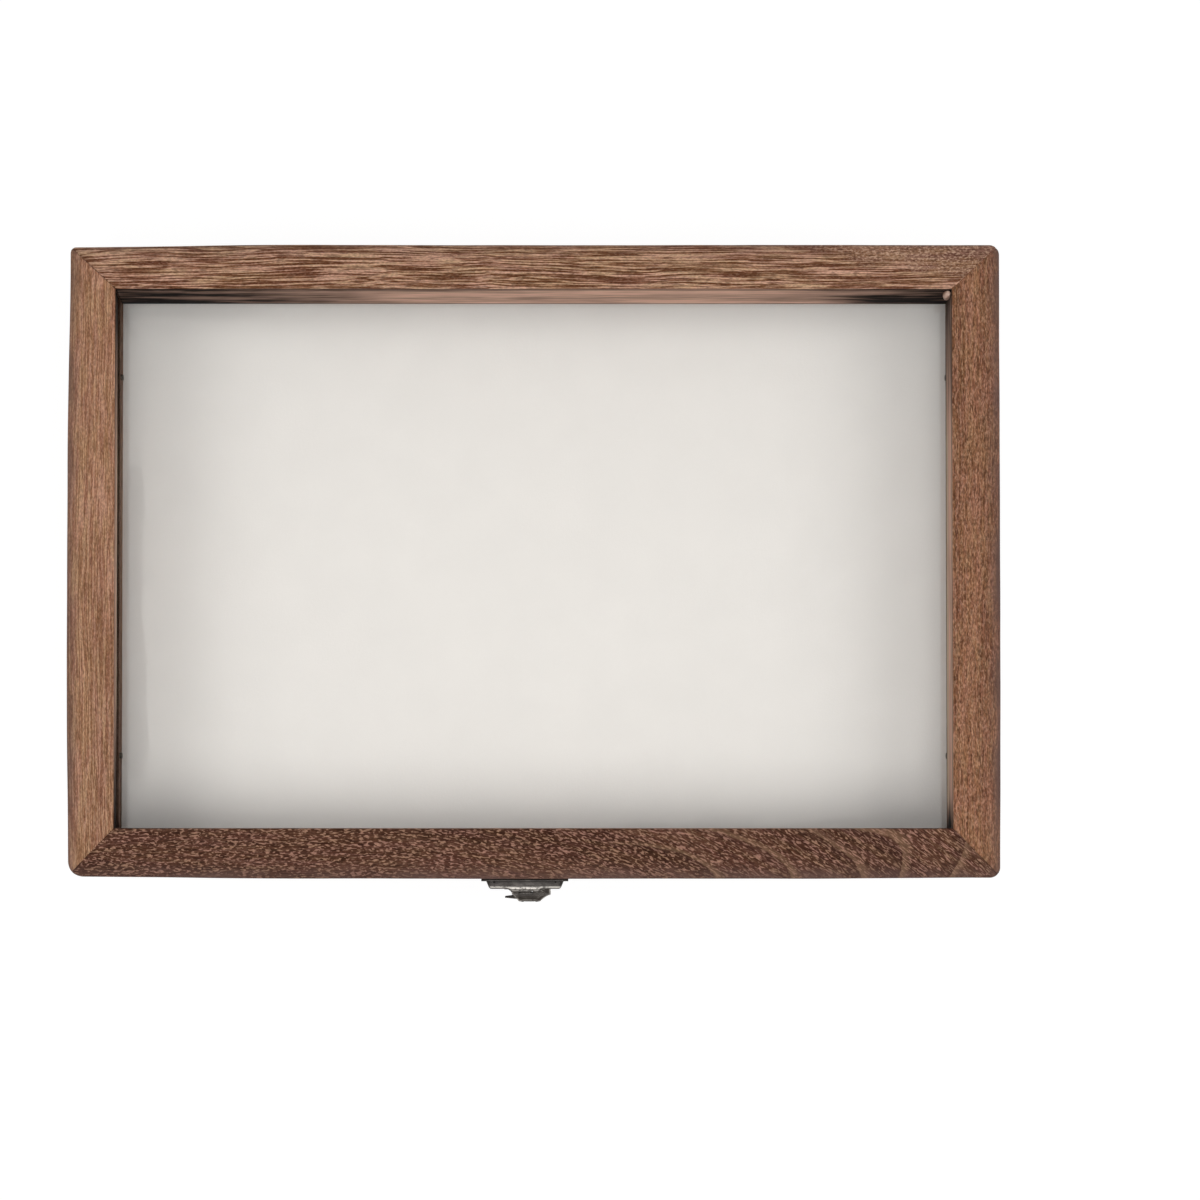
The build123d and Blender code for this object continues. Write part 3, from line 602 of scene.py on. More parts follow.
def hasp_flap():
    """The hasp: a strip rolled round its pin, carried down a bent side view between two outlines.

    The outlines widen at the shoulder by a quarter circle and narrow evenly to the lip, and the
    left one has a short pointed tang. A groove follows both, and slanting ridges cross the right part.
    """
    side_view = np.vstack((knuckle(-150.0, 140.0), smooth_path(np.array(FLAP_PATH) * MM)))
    out, height = side_view[:, 0], side_view[:, 1]
    wide = ramp(height, HASP_SHOULDER, HASP_SHOULDER - 0.2 * MM)
    low, high = HASP_TAPER_HEIGHTS
    narrowing = np.clip((high - height) / (high - low), 0.0, 1.0)
    round_off = corner_pull(height, HASP_SHOULDER, HASP_CORNER) + corner_pull(out, out[-1], 0.8 * MM)
    tang = np.clip(1.0 - np.abs(height - TANG_HEIGHT) / TANG_HALF_WIDTH, 0.0, 1.0)
    left = HASP_WIDE_LEFT + (HASP_LIP_LEFT - HASP_WIDE_LEFT) * narrowing - round_off
    right = HASP_WIDE_RIGHT + (HASP_LIP_RIGHT - HASP_WIDE_RIGHT) * narrowing - round_off
    left = (HASP_NECK + (left - HASP_NECK) * wide)[:, None]
    right = (HASP_NECK + (right - HASP_NECK) * wide)[:, None]
    shares = np.linspace(0.0, 1.0, 41)[None]
    across = (right + left + TANG_LENGTH * tang[:, None]) * shares - left - TANG_LENGTH * tang[:, None]
    margin = np.minimum(across + left, right - across)
    flap = ramp(height, HASP_SHOULDER - 1.0 * MM, HASP_SHOULDER - 2.0 * MM)[:, None]
    groove = bell(margin - HASP_GROOVE_IN, HASP_GROOVE_WIDTH)
    ridges = np.sin(2.0 * math.pi * (across + RIDGE_SLANT * height[:, None]) / RIDGE_SPACING)
    ridges = ridges * ramp(across, RIDGE_START, RIDGE_START + 0.6 * MM)
    ridges = ridges * ramp(margin, HASP_GROOVE_IN + 0.4 * MM, HASP_GROOVE_IN + 0.8 * MM)
    pressed = flap * (RIDGE_HEIGHT * ridges - HASP_GROOVE_DEPTH * groove)
    x = LATCH_X + across
    y = np.broadcast_to(-HALF_DEPTH - out[:, None], x.shape) + pressed
    middle = np.stack((x, y, np.broadcast_to(height[:, None], x.shape)), axis=-1)
    centre = (middle[:-1, :-1] + middle[1:, :-1] + middle[1:, 1:] + middle[:-1, 1:]) / 4.0
    low, high = HASP_WINDOW_HEIGHTS
    window = np.abs(centre[..., 0] - LATCH_X) < HASP_WINDOW_HALF_WIDTH
    window = window & (centre[..., 2] > low) & (centre[..., 2] < high)
    thinned = 1.0 - TANG_THINNING * np.clip(-(across + left) / TANG_LENGTH, 0.0, 1.0)
    # Painted highlights: along the hasp's edges, on its ridges and in a line just above the lip
    worn = flap * bell(margin - 0.15 * MM, 0.28 * MM)
    worn = np.maximum(worn, 0.6 * flap * ramp(ridges, 0.25, 0.85))
    worn = np.maximum(worn, 0.8 * bell(height - LIP_LINE_HEIGHT, 0.22 * MM)[:, None])
    return [sheet(middle, HASP_SHEET * thinned, worn, ~window)]


def pressed_plate():
    """The hasp's plate: a sheet pressed outwards, with two lugs rolled round the pin.

    Its distance out is a flat flange plus two rounded plateaus, the wide wings and a narrower crown
    on their middle. Each plateau is a product of smooth steps in width and in height.
    """
    u, height = np.meshgrid(
        np.linspace(-1.0, 1.0, 101), np.linspace(PLATE_HIGH.z, PLATE_HIGH.z - PLATE_LENGTH, 57)
    )
    centre = (height.max() + height.min()) / 2.0
    reach = (height.max() - height.min()) / 2.0
    half_width = (PLATE_HIGH.x - PLATE_LOW.x) / 2.0
    across = u * (half_width - corner_pull(np.abs(height - centre), reach, PLATE_CORNER))
    out = np.full_like(across, PLATE_SHEET / 2.0)
    worn = np.zeros_like(across)
    plateaus = (
        (WING_RISE, WING_HALF_WIDTH, WING_HEIGHTS), (CROWN_RISE, CROWN_HALF_WIDTH, CROWN_HEIGHTS),
    )
    for rise, width, (low, high) in plateaus:
        share = ramp(np.abs(across), width, width - PRESSED_SLOPE)
        share = share * ramp(height, low, low + PRESSED_SLOPE) * ramp(height, high, high - PRESSED_SLOPE)
        out = out + rise * share
        # Painted highlight where each plateau's slope meets its top
        worn = np.maximum(worn, bell(share - 0.87, 0.06))
    shells = [sheet(np.stack((LATCH_X + across, -HALF_DEPTH - out, height), axis=-1), PLATE_SHEET, worn)]
    side_view = np.vstack((smooth_path(np.array(LUG_PATH) * MM, 4), knuckle(192.0, -100.0)))
    for start, end in ((-LUG_OUTER, -LUG_INNER), (LUG_INNER, LUG_OUTER)):
        x, out = np.meshgrid(np.linspace(LATCH_X + start, LATCH_X + end, 6), side_view[:, 0])
        height = np.broadcast_to(side_view[:, 1:], x.shape)
        middle = np.stack((x, -HALF_DEPTH - out, height), axis=-1)
        shells.append(sheet(middle, PLATE_SHEET, np.zeros_like(x)))
    return shells


def glue_drop(low, high):
    """A hanging drop: ellipses stacked from low to high, each scaled by a root of a sine of its height."""
    turns = np.linspace(0.0, 2.0 * math.pi, 25)[None, :-1]
    share = np.linspace(0.01, 0.99, 22)[:, None]
    scale = np.sin(math.pi * share) ** 0.35 * (1.0 + 0.12 * np.sin(7.0 * share) * np.cos(turns))
    x = GLUE_PLACE[0] + GLUE_RADII[0] * scale * np.cos(turns)
    y = GLUE_PLACE[1] + GLUE_RADII[1] * scale * np.sin(turns)
    z = np.broadcast_to(low + (high - low) * share, x.shape)
    points = np.stack((x, y, z), axis=-1).reshape(-1, 3)
    return points, tube_faces(len(share), turns.size, flip=False)


class Graph:
    """Adds and links shader nodes in one node tree."""

    def __init__(self, tree):
        self.tree = tree

    def feed(self, node, inputs):
        """Links each of a node's named sockets, or writes a plain value into it."""
        for key, value in inputs.items():
            if isinstance(value, bpy.types.NodeSocket):
                self.tree.links.new(value, node.inputs[key])
            elif value is not None:
                node.inputs[key].default_value = value

    def node(self, kind, inputs=None, **options):
        """A node with its options and inputs set."""
        made = self.tree.nodes.new(kind)
        for key, value in options.items():
            setattr(made, key, value)
        self.feed(made, inputs or {})
        return made

    def math(self, operation, first, second=None, third=None, clamp=False):
        """Arithmetic on one, two or three values."""
        inputs = {0: first, 1: second, 2: third}
        return self.node("ShaderNodeMath", inputs, operation=operation, use_clamp=clamp).outputs[0]

    def times(self, first, second):
        """One value times another."""
        return self.math("MULTIPLY", first, second)

    def times_plus(self, first, second, third):
        """One value times another, plus a third."""
        return self.math("MULTIPLY_ADD", first, second, third)

    def minus(self, first, second):
        """One value less another."""
        return self.math("SUBTRACT", first, second)

    def mix(self, share, first, second):
        """Blends two colours."""
        inputs = {0: share, 6: first, 7: second}
        return self.node("ShaderNodeMix", inputs, data_type="RGBA").outputs[2]

    def remap(self, value, low, high, new_low=0.0, new_high=1.0):
        """Spreads a range of values over another, smoothly, and stops at its ends."""
        inputs = {"Value": value, "From Min": low, "From Max": high, "To Min": new_low, "To Max": new_high}
        return self.node("ShaderNodeMapRange", inputs, interpolation_type="SMOOTHSTEP").outputs[0]

    def vector_math(self, operation, first, second):
        """Arithmetic on two vectors, such as coordinates or colours."""
        return self.node("ShaderNodeVectorMath", {0: first, 1: second}, operation=operation).outputs[0]

    def scaled(self, vector, scale):
        """A vector multiplied axis by axis."""
        return self.vector_math("MULTIPLY", vector, scale)

    def noise(self, vector, scale, detail=2.0, roughness=0.5, distortion=0.0, output=0):
        """Noise over coordinates that are first stretched axis by axis, or by one number all round."""
        stretch = scale if isinstance(scale, tuple) else (scale, scale, scale)
        inputs = {
            "Vector": self.scaled(vector, stretch), "Scale": 1.0, "Detail": detail,
            "Roughness": roughness, "Distortion": distortion,
        }
        return self.node("ShaderNodeTexNoise", inputs).outputs[output]

    def place(self):
        """The piece's own coordinates."""
        return self.node("ShaderNodeTexCoord").outputs["Object"]

    def axes(self):
        """The piece's own X, Y and Z, each as a value."""
        return self.node("ShaderNodeSeparateXYZ", {0: self.place()}).outputs

    def grain_place(self, turn, shift):
        """The piece's own coordinates, turned about Z and shifted."""
        inputs = {"Vector": self.place(), "Rotation": (0.0, 0.0, turn), "Location": shift}
        return self.node("ShaderNodeMapping", inputs).outputs[0]

    def attribute(self, name):
        """A number stored on the piece's vertices."""
        return self.node("ShaderNodeAttribute", attribute_name=name).outputs["Fac"]

    def group(self, name, inputs):
        """A shader node group with its inputs set. It is built where it is first used."""
        tree = bpy.data.node_groups.get(name) or GROUPS[name](name)
        return self.node("ShaderNodeGroup", inputs, node_tree=tree).outputs

    def bump(self, height, strength, distance):
        """A normal that follows a height."""
        inputs = {"Height": height, "Strength": strength, "Distance": distance}
        return self.node("ShaderNodeBump", inputs).outputs[0]


def new_group(name, colours, values, results):
    """The graph, inputs and output node of a new group that takes coordinates, colours and values."""
    tree = bpy.data.node_groups.new(name, "ShaderNodeTree")
    sockets = [("Vector", "INPUT", "Vector")]
    sockets += [(each, "INPUT", "Color") for each in colours]
    sockets += [(each, "INPUT", "Float") for each in values]
    sockets += [(each, "OUTPUT", "Color" if each == "Color" else "Float") for each in results]
    for socket_name, direction, kind in sockets:
        tree.interface.new_socket(socket_name, in_out=direction, socket_type=f"NodeSocket{kind}")
    graph = Graph(tree)
    return graph, graph.node("NodeGroupInput").outputs, graph.node("NodeGroupOutput")


def wood_grain(name):
    """Open-pored grain along X: broad bands, narrow streaks, dark pores and short flecks."""
    graph, given, result = new_group(
        name, ("Dark", "Middle", "Light", "Fleck"), ("Streaks", "Flecks", "Pores", "Bands", "Fibres"),
        ("Color", "Roughness", "Height"),
    )
    sway = graph.noise(given["Vector"], (9.0, 45.0, 45.0), output="Color")
    ripple = graph.noise(given["Vector"], (52.0, 190.0, 190.0), output="Color")
    centred = [
        graph.scaled(graph.vector_math("SUBTRACT", each, (0.5, 0.5, 0.5)), (0.0, reach, reach))
        for each, reach in ((sway, 7.0 * MM), (ripple, 0.8 * MM))
    ]
    place = graph.vector_math("ADD", given["Vector"], graph.vector_math("ADD", *centred))
    bands = graph.noise(place, (5.0, 150.0, 150.0))
    streaks = graph.noise(place, (40.0, 2250.0, 2250.0), roughness=0.55)
    fibres = graph.noise(place, (950.0, 2400.0, 2400.0), detail=1.5)
    deep = graph.noise(graph.scaled(place, (1.0, 1.0, -1.0)), (260.0, 1500.0, 1500.0), detail=1.0)
    dashes = graph.noise(given["Vector"], (640.0, 1750.0, 1750.0), detail=1.0, distortion=0.45)
    flecks = graph.remap(dashes, 0.52, 0.61)
    fleck_share = graph.times(flecks, given["Flecks"])
    light_share = graph.times(graph.remap(streaks, 0.50, 0.555), given["Streaks"])
    dark_share = graph.times(graph.remap(streaks, 0.50, 0.43), given["Streaks"])
    pore_share = graph.times(graph.remap(deep, 0.54, 0.63), given["Pores"])
    band_share = graph.times(graph.remap(bands, 0.56, 0.38), given["Bands"])
    colour = graph.mix(band_share, given["Middle"], given["Dark"])
    colour = graph.mix(dark_share, colour, given["Dark"])
    colour = graph.mix(light_share, colour, given["Light"])
    colour = graph.mix(pore_share, colour, graph.scaled(given["Dark"], (0.6, 0.58, 0.6)))
    colour = graph.mix(fleck_share, colour, given["Fleck"])
    hue = graph.noise(given["Vector"], (60.0, 420.0, 420.0), detail=3.0, roughness=0.65)
    tint = graph.mix(graph.remap(hue, 0.36, 0.64), (1.02, 0.98, 1.03, 1.0), (0.985, 1.02, 0.93, 1.0))
    fine = graph.times_plus(graph.remap(fibres, 0.33, 0.67, -1.0, 1.0), given["Fibres"], 1.0)
    shade = graph.node("ShaderNodeCombineXYZ", {0: fine, 1: fine, 2: fine}).outputs[0]
    colour = graph.vector_math("MULTIPLY", graph.vector_math("MULTIPLY", colour, tint), shade)
    rough = graph.times_plus(pore_share, 0.2, graph.remap(streaks, 0.3, 0.7, 0.68, 0.52))
    height = graph.times_plus(streaks, 0.9, graph.times(fibres, 0.3))
    height = graph.times_plus(fleck_share, -0.2, graph.times_plus(pore_share, -0.6, height))
    graph.feed(result, {"Color": colour, "Roughness": rough, "Height": height})
    return graph.tree


def frame_finish(name):
    """What the frame's colour gets over its grain: darker, duller outer edges, a pale and a dark tone on the
    inner faces, painted shadow lines at the top and the foot of the faces above the glass, and mitre lines.

    The inner faces are darkest near the corners and lighter in the middle of a side.
    """
    graph, given, result = new_group(
        name, ("Color", "Edge Tone", "Inner Light", "Inner Dark"),
        ("Roughness", "Edge", "Inner", "Corner", "Mitre", "Lines"), ("Color", "Roughness"),
    )
    patches = graph.noise(given["Vector"], (70.0, 260.0, 260.0), detail=3.0)
    edge_share = graph.times(given["Edge"], graph.remap(patches, 0.35, 0.6, 0.5, 0.9))
    colour = graph.mix(edge_share, given["Color"], given["Edge Tone"])
    smoke = graph.noise(given["Vector"], (16.0, 120.0, 330.0), detail=4.0, roughness=0.6)
    clouds = graph.remap(smoke, 0.36, 0.66, -0.05, 0.42)
    inner_darkening = graph.times_plus(given["Corner"], 0.86, clouds)
    grime = graph.noise(given["Vector"], (60.0, 900.0, 1500.0))
    inner_darkening = graph.math("ADD", inner_darkening, graph.remap(grime, 0.35, 0.65, 0.12, -0.12), clamp=True)
    inner = graph.mix(inner_darkening, given["Inner Light"], given["Inner Dark"])
    colour = graph.mix(given["Inner"], colour, inner)
    # Painted shadow lines at the top and the foot of the faces above the glass, in the inner faces' dark tone
    colour = graph.mix(graph.times(given["Lines"], 0.75), colour, given["Inner Dark"])
    line = graph.times(given["Mitre"], graph.remap(patches, 0.40, 0.56, 0.4, 1.0))
    colour = graph.mix(line, colour, MITRE_TONE)
    rough = graph.times_plus(edge_share, 0.08, given["Roughness"])
    graph.feed(result, {"Color": colour, "Roughness": rough})
    return graph.tree


def aged_metal(name):
    """Old bronze: bare-metal tops, dark hollows, fine scratches and pitting."""
    graph, given, result = new_group(
        name, ("Bright", "Dark"), ("Wear",), ("Color", "Roughness", "Height")
    )
    patches = graph.noise(given["Vector"], 420.0, detail=4.0, roughness=0.6)
    pits = graph.noise(given["Vector"], 2600.0)
    scratches = graph.noise(given["Vector"], (500.0, 5200.0, 5200.0))
    mixed = graph.times_plus(pits, 0.35, graph.times(patches, 0.65))
    threshold = graph.minus(0.62, graph.times(given["Wear"], 0.3))
    wear = graph.remap(graph.minus(mixed, threshold), -0.16, 0.16)
    colour = graph.mix(wear, given["Dark"], given["Bright"])
    rough = graph.times_plus(scratches, 0.12, graph.remap(wear, 0.0, 1.0, 0.36, 0.24))
    height = graph.times_plus(patches, 0.6, graph.times(pits, 0.5))
    height = graph.times_plus(scratches, 0.2, height)
    graph.feed(result, {"Color": colour, "Roughness": rough, "Height": height})
    return graph.tree


def fine_dust(name):
    """Dust as two masks: rare specks, 1 in each and 0 between them, and a faint uneven film."""
    graph, given, result = new_group(name, (), ("Density",), ("Specks", "Film"))
    cells = graph.node("ShaderNodeTexVoronoi", {"Vector": given["Vector"], "Scale": 90.0})
    near = graph.remap(cells.outputs["Distance"], 0.05, 0.02)
    chosen = graph.node("ShaderNodeSeparateColor", {0: cells.outputs["Color"]}).outputs[0]
    chosen = graph.math("LESS_THAN", chosen, given["Density"])
    film = graph.noise(given["Vector"], 24.0, detail=4.0, roughness=0.65)
    graph.feed(result, {"Specks": graph.times(near, chosen), "Film": graph.remap(film, 0.35, 0.7)})
    return graph.tree


GROUPS = {
    "Wood grain": wood_grain, "Frame finish": frame_finish, "Aged metal": aged_metal, "Fine dust": fine_dust,
}


def tone(colour, red=1.0, green=None, blue=None):
    """A colour with its parts scaled, as four numbers. One factor alone scales all three."""
    factors = (red, red if green is None else green, red if blue is None else blue)
    return tuple(min(1.0, part * factor) for part, factor in zip(colour, factors)) + (1.0,)


def new_material(name):
    """An empty material with its graph and its Principled shader."""
    material = bpy.data.materials.new(name)
    material.use_nodes = True
    material.node_tree.nodes.clear()
    graph = Graph(material.node_tree)
    shader = graph.node("ShaderNodeBsdfPrincipled")
    output = graph.node("ShaderNodeOutputMaterial", {"Surface": shader.outputs[0]})
    return material, graph, shader, output


def wood_material(name, colour, side, seed, look, fleck_factors=PALE_FACTORS, bend=0.0):
    """Stained wood with its grain along one side of the case. The look holds the grain's strengths.

    Its light streaks are paler and its dark ones deeper in hue than the wood between them. A bend
    shifts the grain by the square of the distance past its start, so that it slants more and more.
    """
    material, graph, shader, _ = new_material(name)
    turn = math.pi / 2.0 if side in ("left", "right") else 0.0
    place = graph.grain_place(turn, (0.37 * seed, 0.11 * seed, 0.053 * seed))
    if bend:
        past = graph.math("MAXIMUM", graph.minus(graph.axes()[0], GRAIN_BEND_START), 0.0)
        shift = graph.times(graph.times(past, past), bend)
        place = graph.vector_math("ADD", place, graph.node("ShaderNodeCombineXYZ", {1: shift}).outputs[0])
    grain = graph.group("Wood grain", {
        "Vector": place, "Dark": tone(colour, *DARK_FACTORS), "Middle": tone(colour),
        "Light": tone(colour, *PALE_FACTORS), "Fleck": tone(colour, *fleck_factors), **look,
    })
    finish = graph.group("Frame finish", {
        "Vector": place, "Color": grain["Color"], "Roughness": grain["Roughness"],
        "Edge": graph.attribute("edge"), "Inner": graph.attribute("inner_face"),
        "Corner": graph.attribute("corner"), "Mitre": graph.attribute("mitre"),
        "Edge Tone": EDGE_TONE, "Inner Light": INNER_PALE_TONE, "Inner Dark": INNER_DARK_TONE,
        "Lines": painted_shadow_lines(graph),
    })
    graph.feed(shader, {
        "Base Color": finish["Color"], "Roughness": finish["Roughness"], "Specular IOR Level": 0.05,
        "Normal": graph.bump(grain["Height"], 0.5, 0.22 * MM),
    })
    return material


def painted_shadow_lines(graph):
    """Painted shadow lines along the top and the foot of the faces above the glass."""
    height = graph.axes()[2]
    below_edge = graph.math("ABSOLUTE", graph.minus(height, LID_TOP - 0.75 * MM))
    top = graph.remap(below_edge, 0.5 * MM, 0.2 * MM)
    foot = graph.remap(height, GLASS_TOP + 0.9 * MM, GLASS_TOP + 0.4 * MM)
    return graph.times(graph.math("MAXIMUM", top, foot), graph.attribute("inner_face"))


def paint_over(graph, share, colour):
    """Lays a colour over a material's own, as thickly as the share says."""
    shader = next(node for node in graph.tree.nodes if node.type == "BSDF_PRINCIPLED")
    own = shader.inputs["Base Color"].links[0].from_socket
    graph.feed(shader, {"Base Color": graph.mix(share, own, colour)})


def add_growth_rings(graph):
    """Growth rings across the front rail's right half.

    Each begins with a sharp pale line and fades outwards. They are circles round a centre on the
    left, squeezed in depth, whose middle line climbs towards the right.
    """
    place = graph.place()
    along, deep, _ = graph.axes()
    middle = graph.remap(along, 102.0 * MM, 144.0 * MM, -107.5 * MM, -91.0 * MM)
    sway = graph.noise(place, 32.0)
    across = graph.times(graph.minus(deep, middle), RING_SQUEEZE)
    out = graph.minus(along, RING_CENTRE)
    squares = graph.math("ADD", graph.times(out, out), graph.times(across, across))
    reach = graph.times_plus(sway, 8.0 * MM, graph.math("SQRT", squares))
    fuzz = graph.noise(place, 900.0, detail=1.0)
    reach = graph.times_plus(fuzz, 1.2 * MM, reach)
    glow, shade = 0.0, 0.0
    for radius in RING_RADII:
        past = graph.minus(reach, radius + 4.6 * MM)
        line = graph.remap(past, -0.25 * MM, 0.35 * MM)
        pale = graph.times(line, graph.remap(past, 0.3 * MM, 4.2 * MM))
        glow = graph.math("ADD", glow, graph.minus(line, pale))
        before = graph.times(graph.remap(past, -6.0 * MM, -0.3 * MM), graph.minus(1.0, line))
        shade = graph.math("ADD", shade, before)
    share = graph.remap(along, 15.0 * MM, 40.0 * MM)
    paint_over(graph, graph.times(shade, graph.times(share, 0.28)), RING_DARK)
    paint_over(graph, graph.times(glow, graph.times(share, 0.34)), RING_PALE)


def add_speckled_end(graph):
    """Purple and tan speckle over the back rail's right end, outside a slanting border."""
    place = graph.place()
    along, deep, _ = graph.axes()
    border = graph.noise(place, (60.0, 160.0, 160.0), detail=3.0)
    rise = graph.times_plus(deep, SPECKLE_SLANT, graph.times_plus(border, 0.05, along))
    start = SPECKLE_SLANT * SPECKLE_START[1] + SPECKLE_START[0]
    share = graph.remap(rise, start, start + 26.0 * MM)
    speckle = graph.noise(place, (1000.0, 1700.0, 1700.0), detail=1.0, roughness=0.6)
    patches = graph.noise(place, (70.0, 260.0, 260.0))
    patchy = graph.remap(patches, 0.42, 0.58)
    ground = graph.mix(patchy, *SPECKLE_GROUNDS)
    ground = graph.mix(graph.remap(speckle, 0.53, 0.63), ground, SPECKLE_DOTS)
    ground = graph.mix(graph.remap(speckle, 0.47, 0.37, 0.0, 0.75), ground, SPECKLE_HOLES)
    outside = graph.minus(1.0, graph.attribute("inner_face"))
    paint_over(graph, graph.times(graph.times(share, outside), 0.68), ground)


def add_painted_foot_light(graph):
    """A painted tan strip of light along the foot of a side rail's inner face, broken up and fading towards
    its ends.
    """
    foot = graph.remap(graph.axes()[2], GLASS_TOP + 3.6 * MM, GLASS_TOP + 2.8 * MM)
    inside = graph.times(foot, graph.attribute("inner_face"))
    patches = graph.noise(graph.place(), (60.0, 26.0, 60.0), detail=3.0)
    left = graph.remap(graph.times_plus(graph.attribute("corner"), -0.35, patches), 0.34, 0.46)
    paint_over(graph, graph.times(graph.times(inside, left), 0.85), FOOT_LIGHT_TONE)


def foam_material():
    """White foam board: fine closed cells, slight mottling and a few specks."""
    _, finish, _ = settings()
    material, graph, shader, _ = new_material("white foam board")
    place = graph.place()
    cells = graph.node("ShaderNodeTexVoronoi", {"Vector": place, "Scale": 1500.0}).outputs["Distance"]
    mottle = graph.noise(place, 60.0, detail=4.0, roughness=0.6)
    dust = graph.group("Fine dust", {"Vector": place, "Density": 0.012})
    colour = graph.mix(graph.remap(mottle, 0.3, 0.7), tone(finish.foam, 0.975), tone(finish.foam))
    graph.feed(shader, {
        "Base Color": graph.mix(graph.times(dust["Specks"], 0.7), colour, (0.25, 0.2, 0.17, 1.0)),
        "Roughness": graph.remap(mottle, 0.3, 0.7, 0.72, 0.85), "Specular IOR Level": 0.25,
        "Normal": graph.bump(cells, 0.25, 0.08 * MM),
    })
    return material


def glass_material():
    """Clear window glass that lets lamp light through to what lies behind it."""
    material, graph, shader, output = new_material("clear glass")
    dust = graph.group("Fine dust", {"Vector": graph.place(), "Density": 0.02})
    graph.feed(shader, {
        "Base Color": (0.965, 0.985, 0.975, 1.0), "Transmission Weight": 1.0, "IOR": 1.5,
        "Roughness": graph.remap(dust["Film"], 0.0, 1.0, 0.0, 0.02),
    })
    clear = graph.node("ShaderNodeBsdfTransparent", {"Color": (0.93, 0.945, 0.935, 1.0)})
    shadow = graph.node("ShaderNodeLightPath").outputs["Is Shadow Ray"]
    mixed = graph.node("ShaderNodeMixShader", {0: shadow, 1: shader.outputs[0], 2: clear.outputs[0]})
    graph.feed(output, {"Surface": mixed.outputs[0]})
    return material


def metal_material(name, bright, dark, wear, roughness_shift=0.0):
    """Metal with an aged surface, brightened with painted highlights where a piece's own highlight attribute
    says so.
    """
    _, finish, _ = settings()
    material, graph, shader, _ = new_material(name)
    place = graph.place()
    aged = graph.group("Aged metal", {"Vector": place, "Bright": bright, "Dark": dark, "Wear": wear})
    # Painted highlights: the piece's highlight attribute, broken up by noise, lays the bright colour over the
    # metal
    highlight = graph.noise(place, 900.0)
    highlight = graph.times(graph.attribute("worn"), graph.remap(highlight, 0.36, 0.52, 0.25, 0.95))
    graph.feed(shader, {
        "Base Color": graph.mix(highlight, aged["Color"], tone(finish.worn)), "Metallic": 1.0,
        "Roughness": graph.math("ADD", aged["Roughness"], roughness_shift),
        "Specular Tint": (0.5, 0.48, 0.46, 1.0), "Normal": graph.bump(aged["Height"], 0.35, 0.08 * MM),
    })
    return material


def plywood_material():
    """Pale face veneer with darker grain lines."""
    _, finish, _ = settings()
    material, graph, shader, _ = new_material("plywood")
    place = graph.grain_place(0.0, (0.4, 0.9, 0.2))
    grain = graph.group("Wood grain", {
        "Vector": place, "Dark": tone(finish.plywood, 0.72), "Middle": tone(finish.plywood),
        "Light": tone(finish.plywood, 1.2), "Fleck": tone(finish.plywood, 1.25), **LOOKS["plywood"],
    })
    graph.feed(shader, {
        "Base Color": grain["Color"], "Roughness": graph.math("ADD", grain["Roughness"], 0.15),
        "Normal": graph.bump(grain["Height"], 0.4, 0.15 * MM),
    })
    return material


def glue_material():
    """Old glue: tan, a little glossy, cloudy."""
    material, graph, shader, _ = new_material("old glue")
    clouds = graph.noise(graph.place(), (500.0, 500.0, 300.0))
    graph.feed(shader, {
        "Base Color": graph.mix(graph.remap(clouds, 0.35, 0.65), *GLUE_TONES),
        "Roughness": graph.remap(clouds, 0.35, 0.65, 0.5, 0.35), "Normal": graph.bump(clouds, 0.4, 0.1 * MM),
    })
    return material


def dress(names, material):
    """Gives CAD nodes their material."""
    for name in names:
        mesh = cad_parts[name].data
        mesh.materials.clear()
        mesh.materials.append(material)


def bronze():
    """The bronze that hinges and latch share."""
    _, finish, _ = settings()
    name = "antique bronze"
    return bpy.data.materials.get(name) or metal_material(name, tone(finish.bronze), tone(finish.patina), 0.3)


def brad_steel():
    """The dull steel that both groups of brads share."""
    name, bright, dark = "brad steel", (0.12, 0.11, 0.10, 1.0), (0.045, 0.04, 0.035, 1.0)
    return bpy.data.materials.get(name) or metal_material(name, bright, dark, 0.5, 0.1)


class DISPLAY_CASE_OT_base_walls(bpy.types.Operator):
    """Add the four mitred walls of the base"""

    bl_idname = "display_case.base_walls"
    bl_label = "Base Walls"

    def execute(self, context):
        _, finish, _ = settings()
        inner, rebate = WALL_THICKNESS, WALL_THICKNESS - PANEL_REBATE
        profile = [
            (0.0, 0.0), (0.0, SEAM), (inner, SEAM), (inner, PANEL_TOP), (rebate, PANEL_TOP), (rebate, 0.0),
        ]
        radii = [SMALL_EDGE_ROUND] * 2 + [FINE_EDGE_ROUND] * 4
        for seed, side in enumerate(SIDES, start=11):
            material = wood_material(f"base {side} wood", finish.base_wood, side, seed, LOOKS["base"])
            piece = frame_piece(
                f"{side}_wall", side, WALL_WIDTHS, profile, radii, SEAM, seed, "base", material
            )
            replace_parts(piece, f"base_{side}_wall")
        return {"FINISHED"}


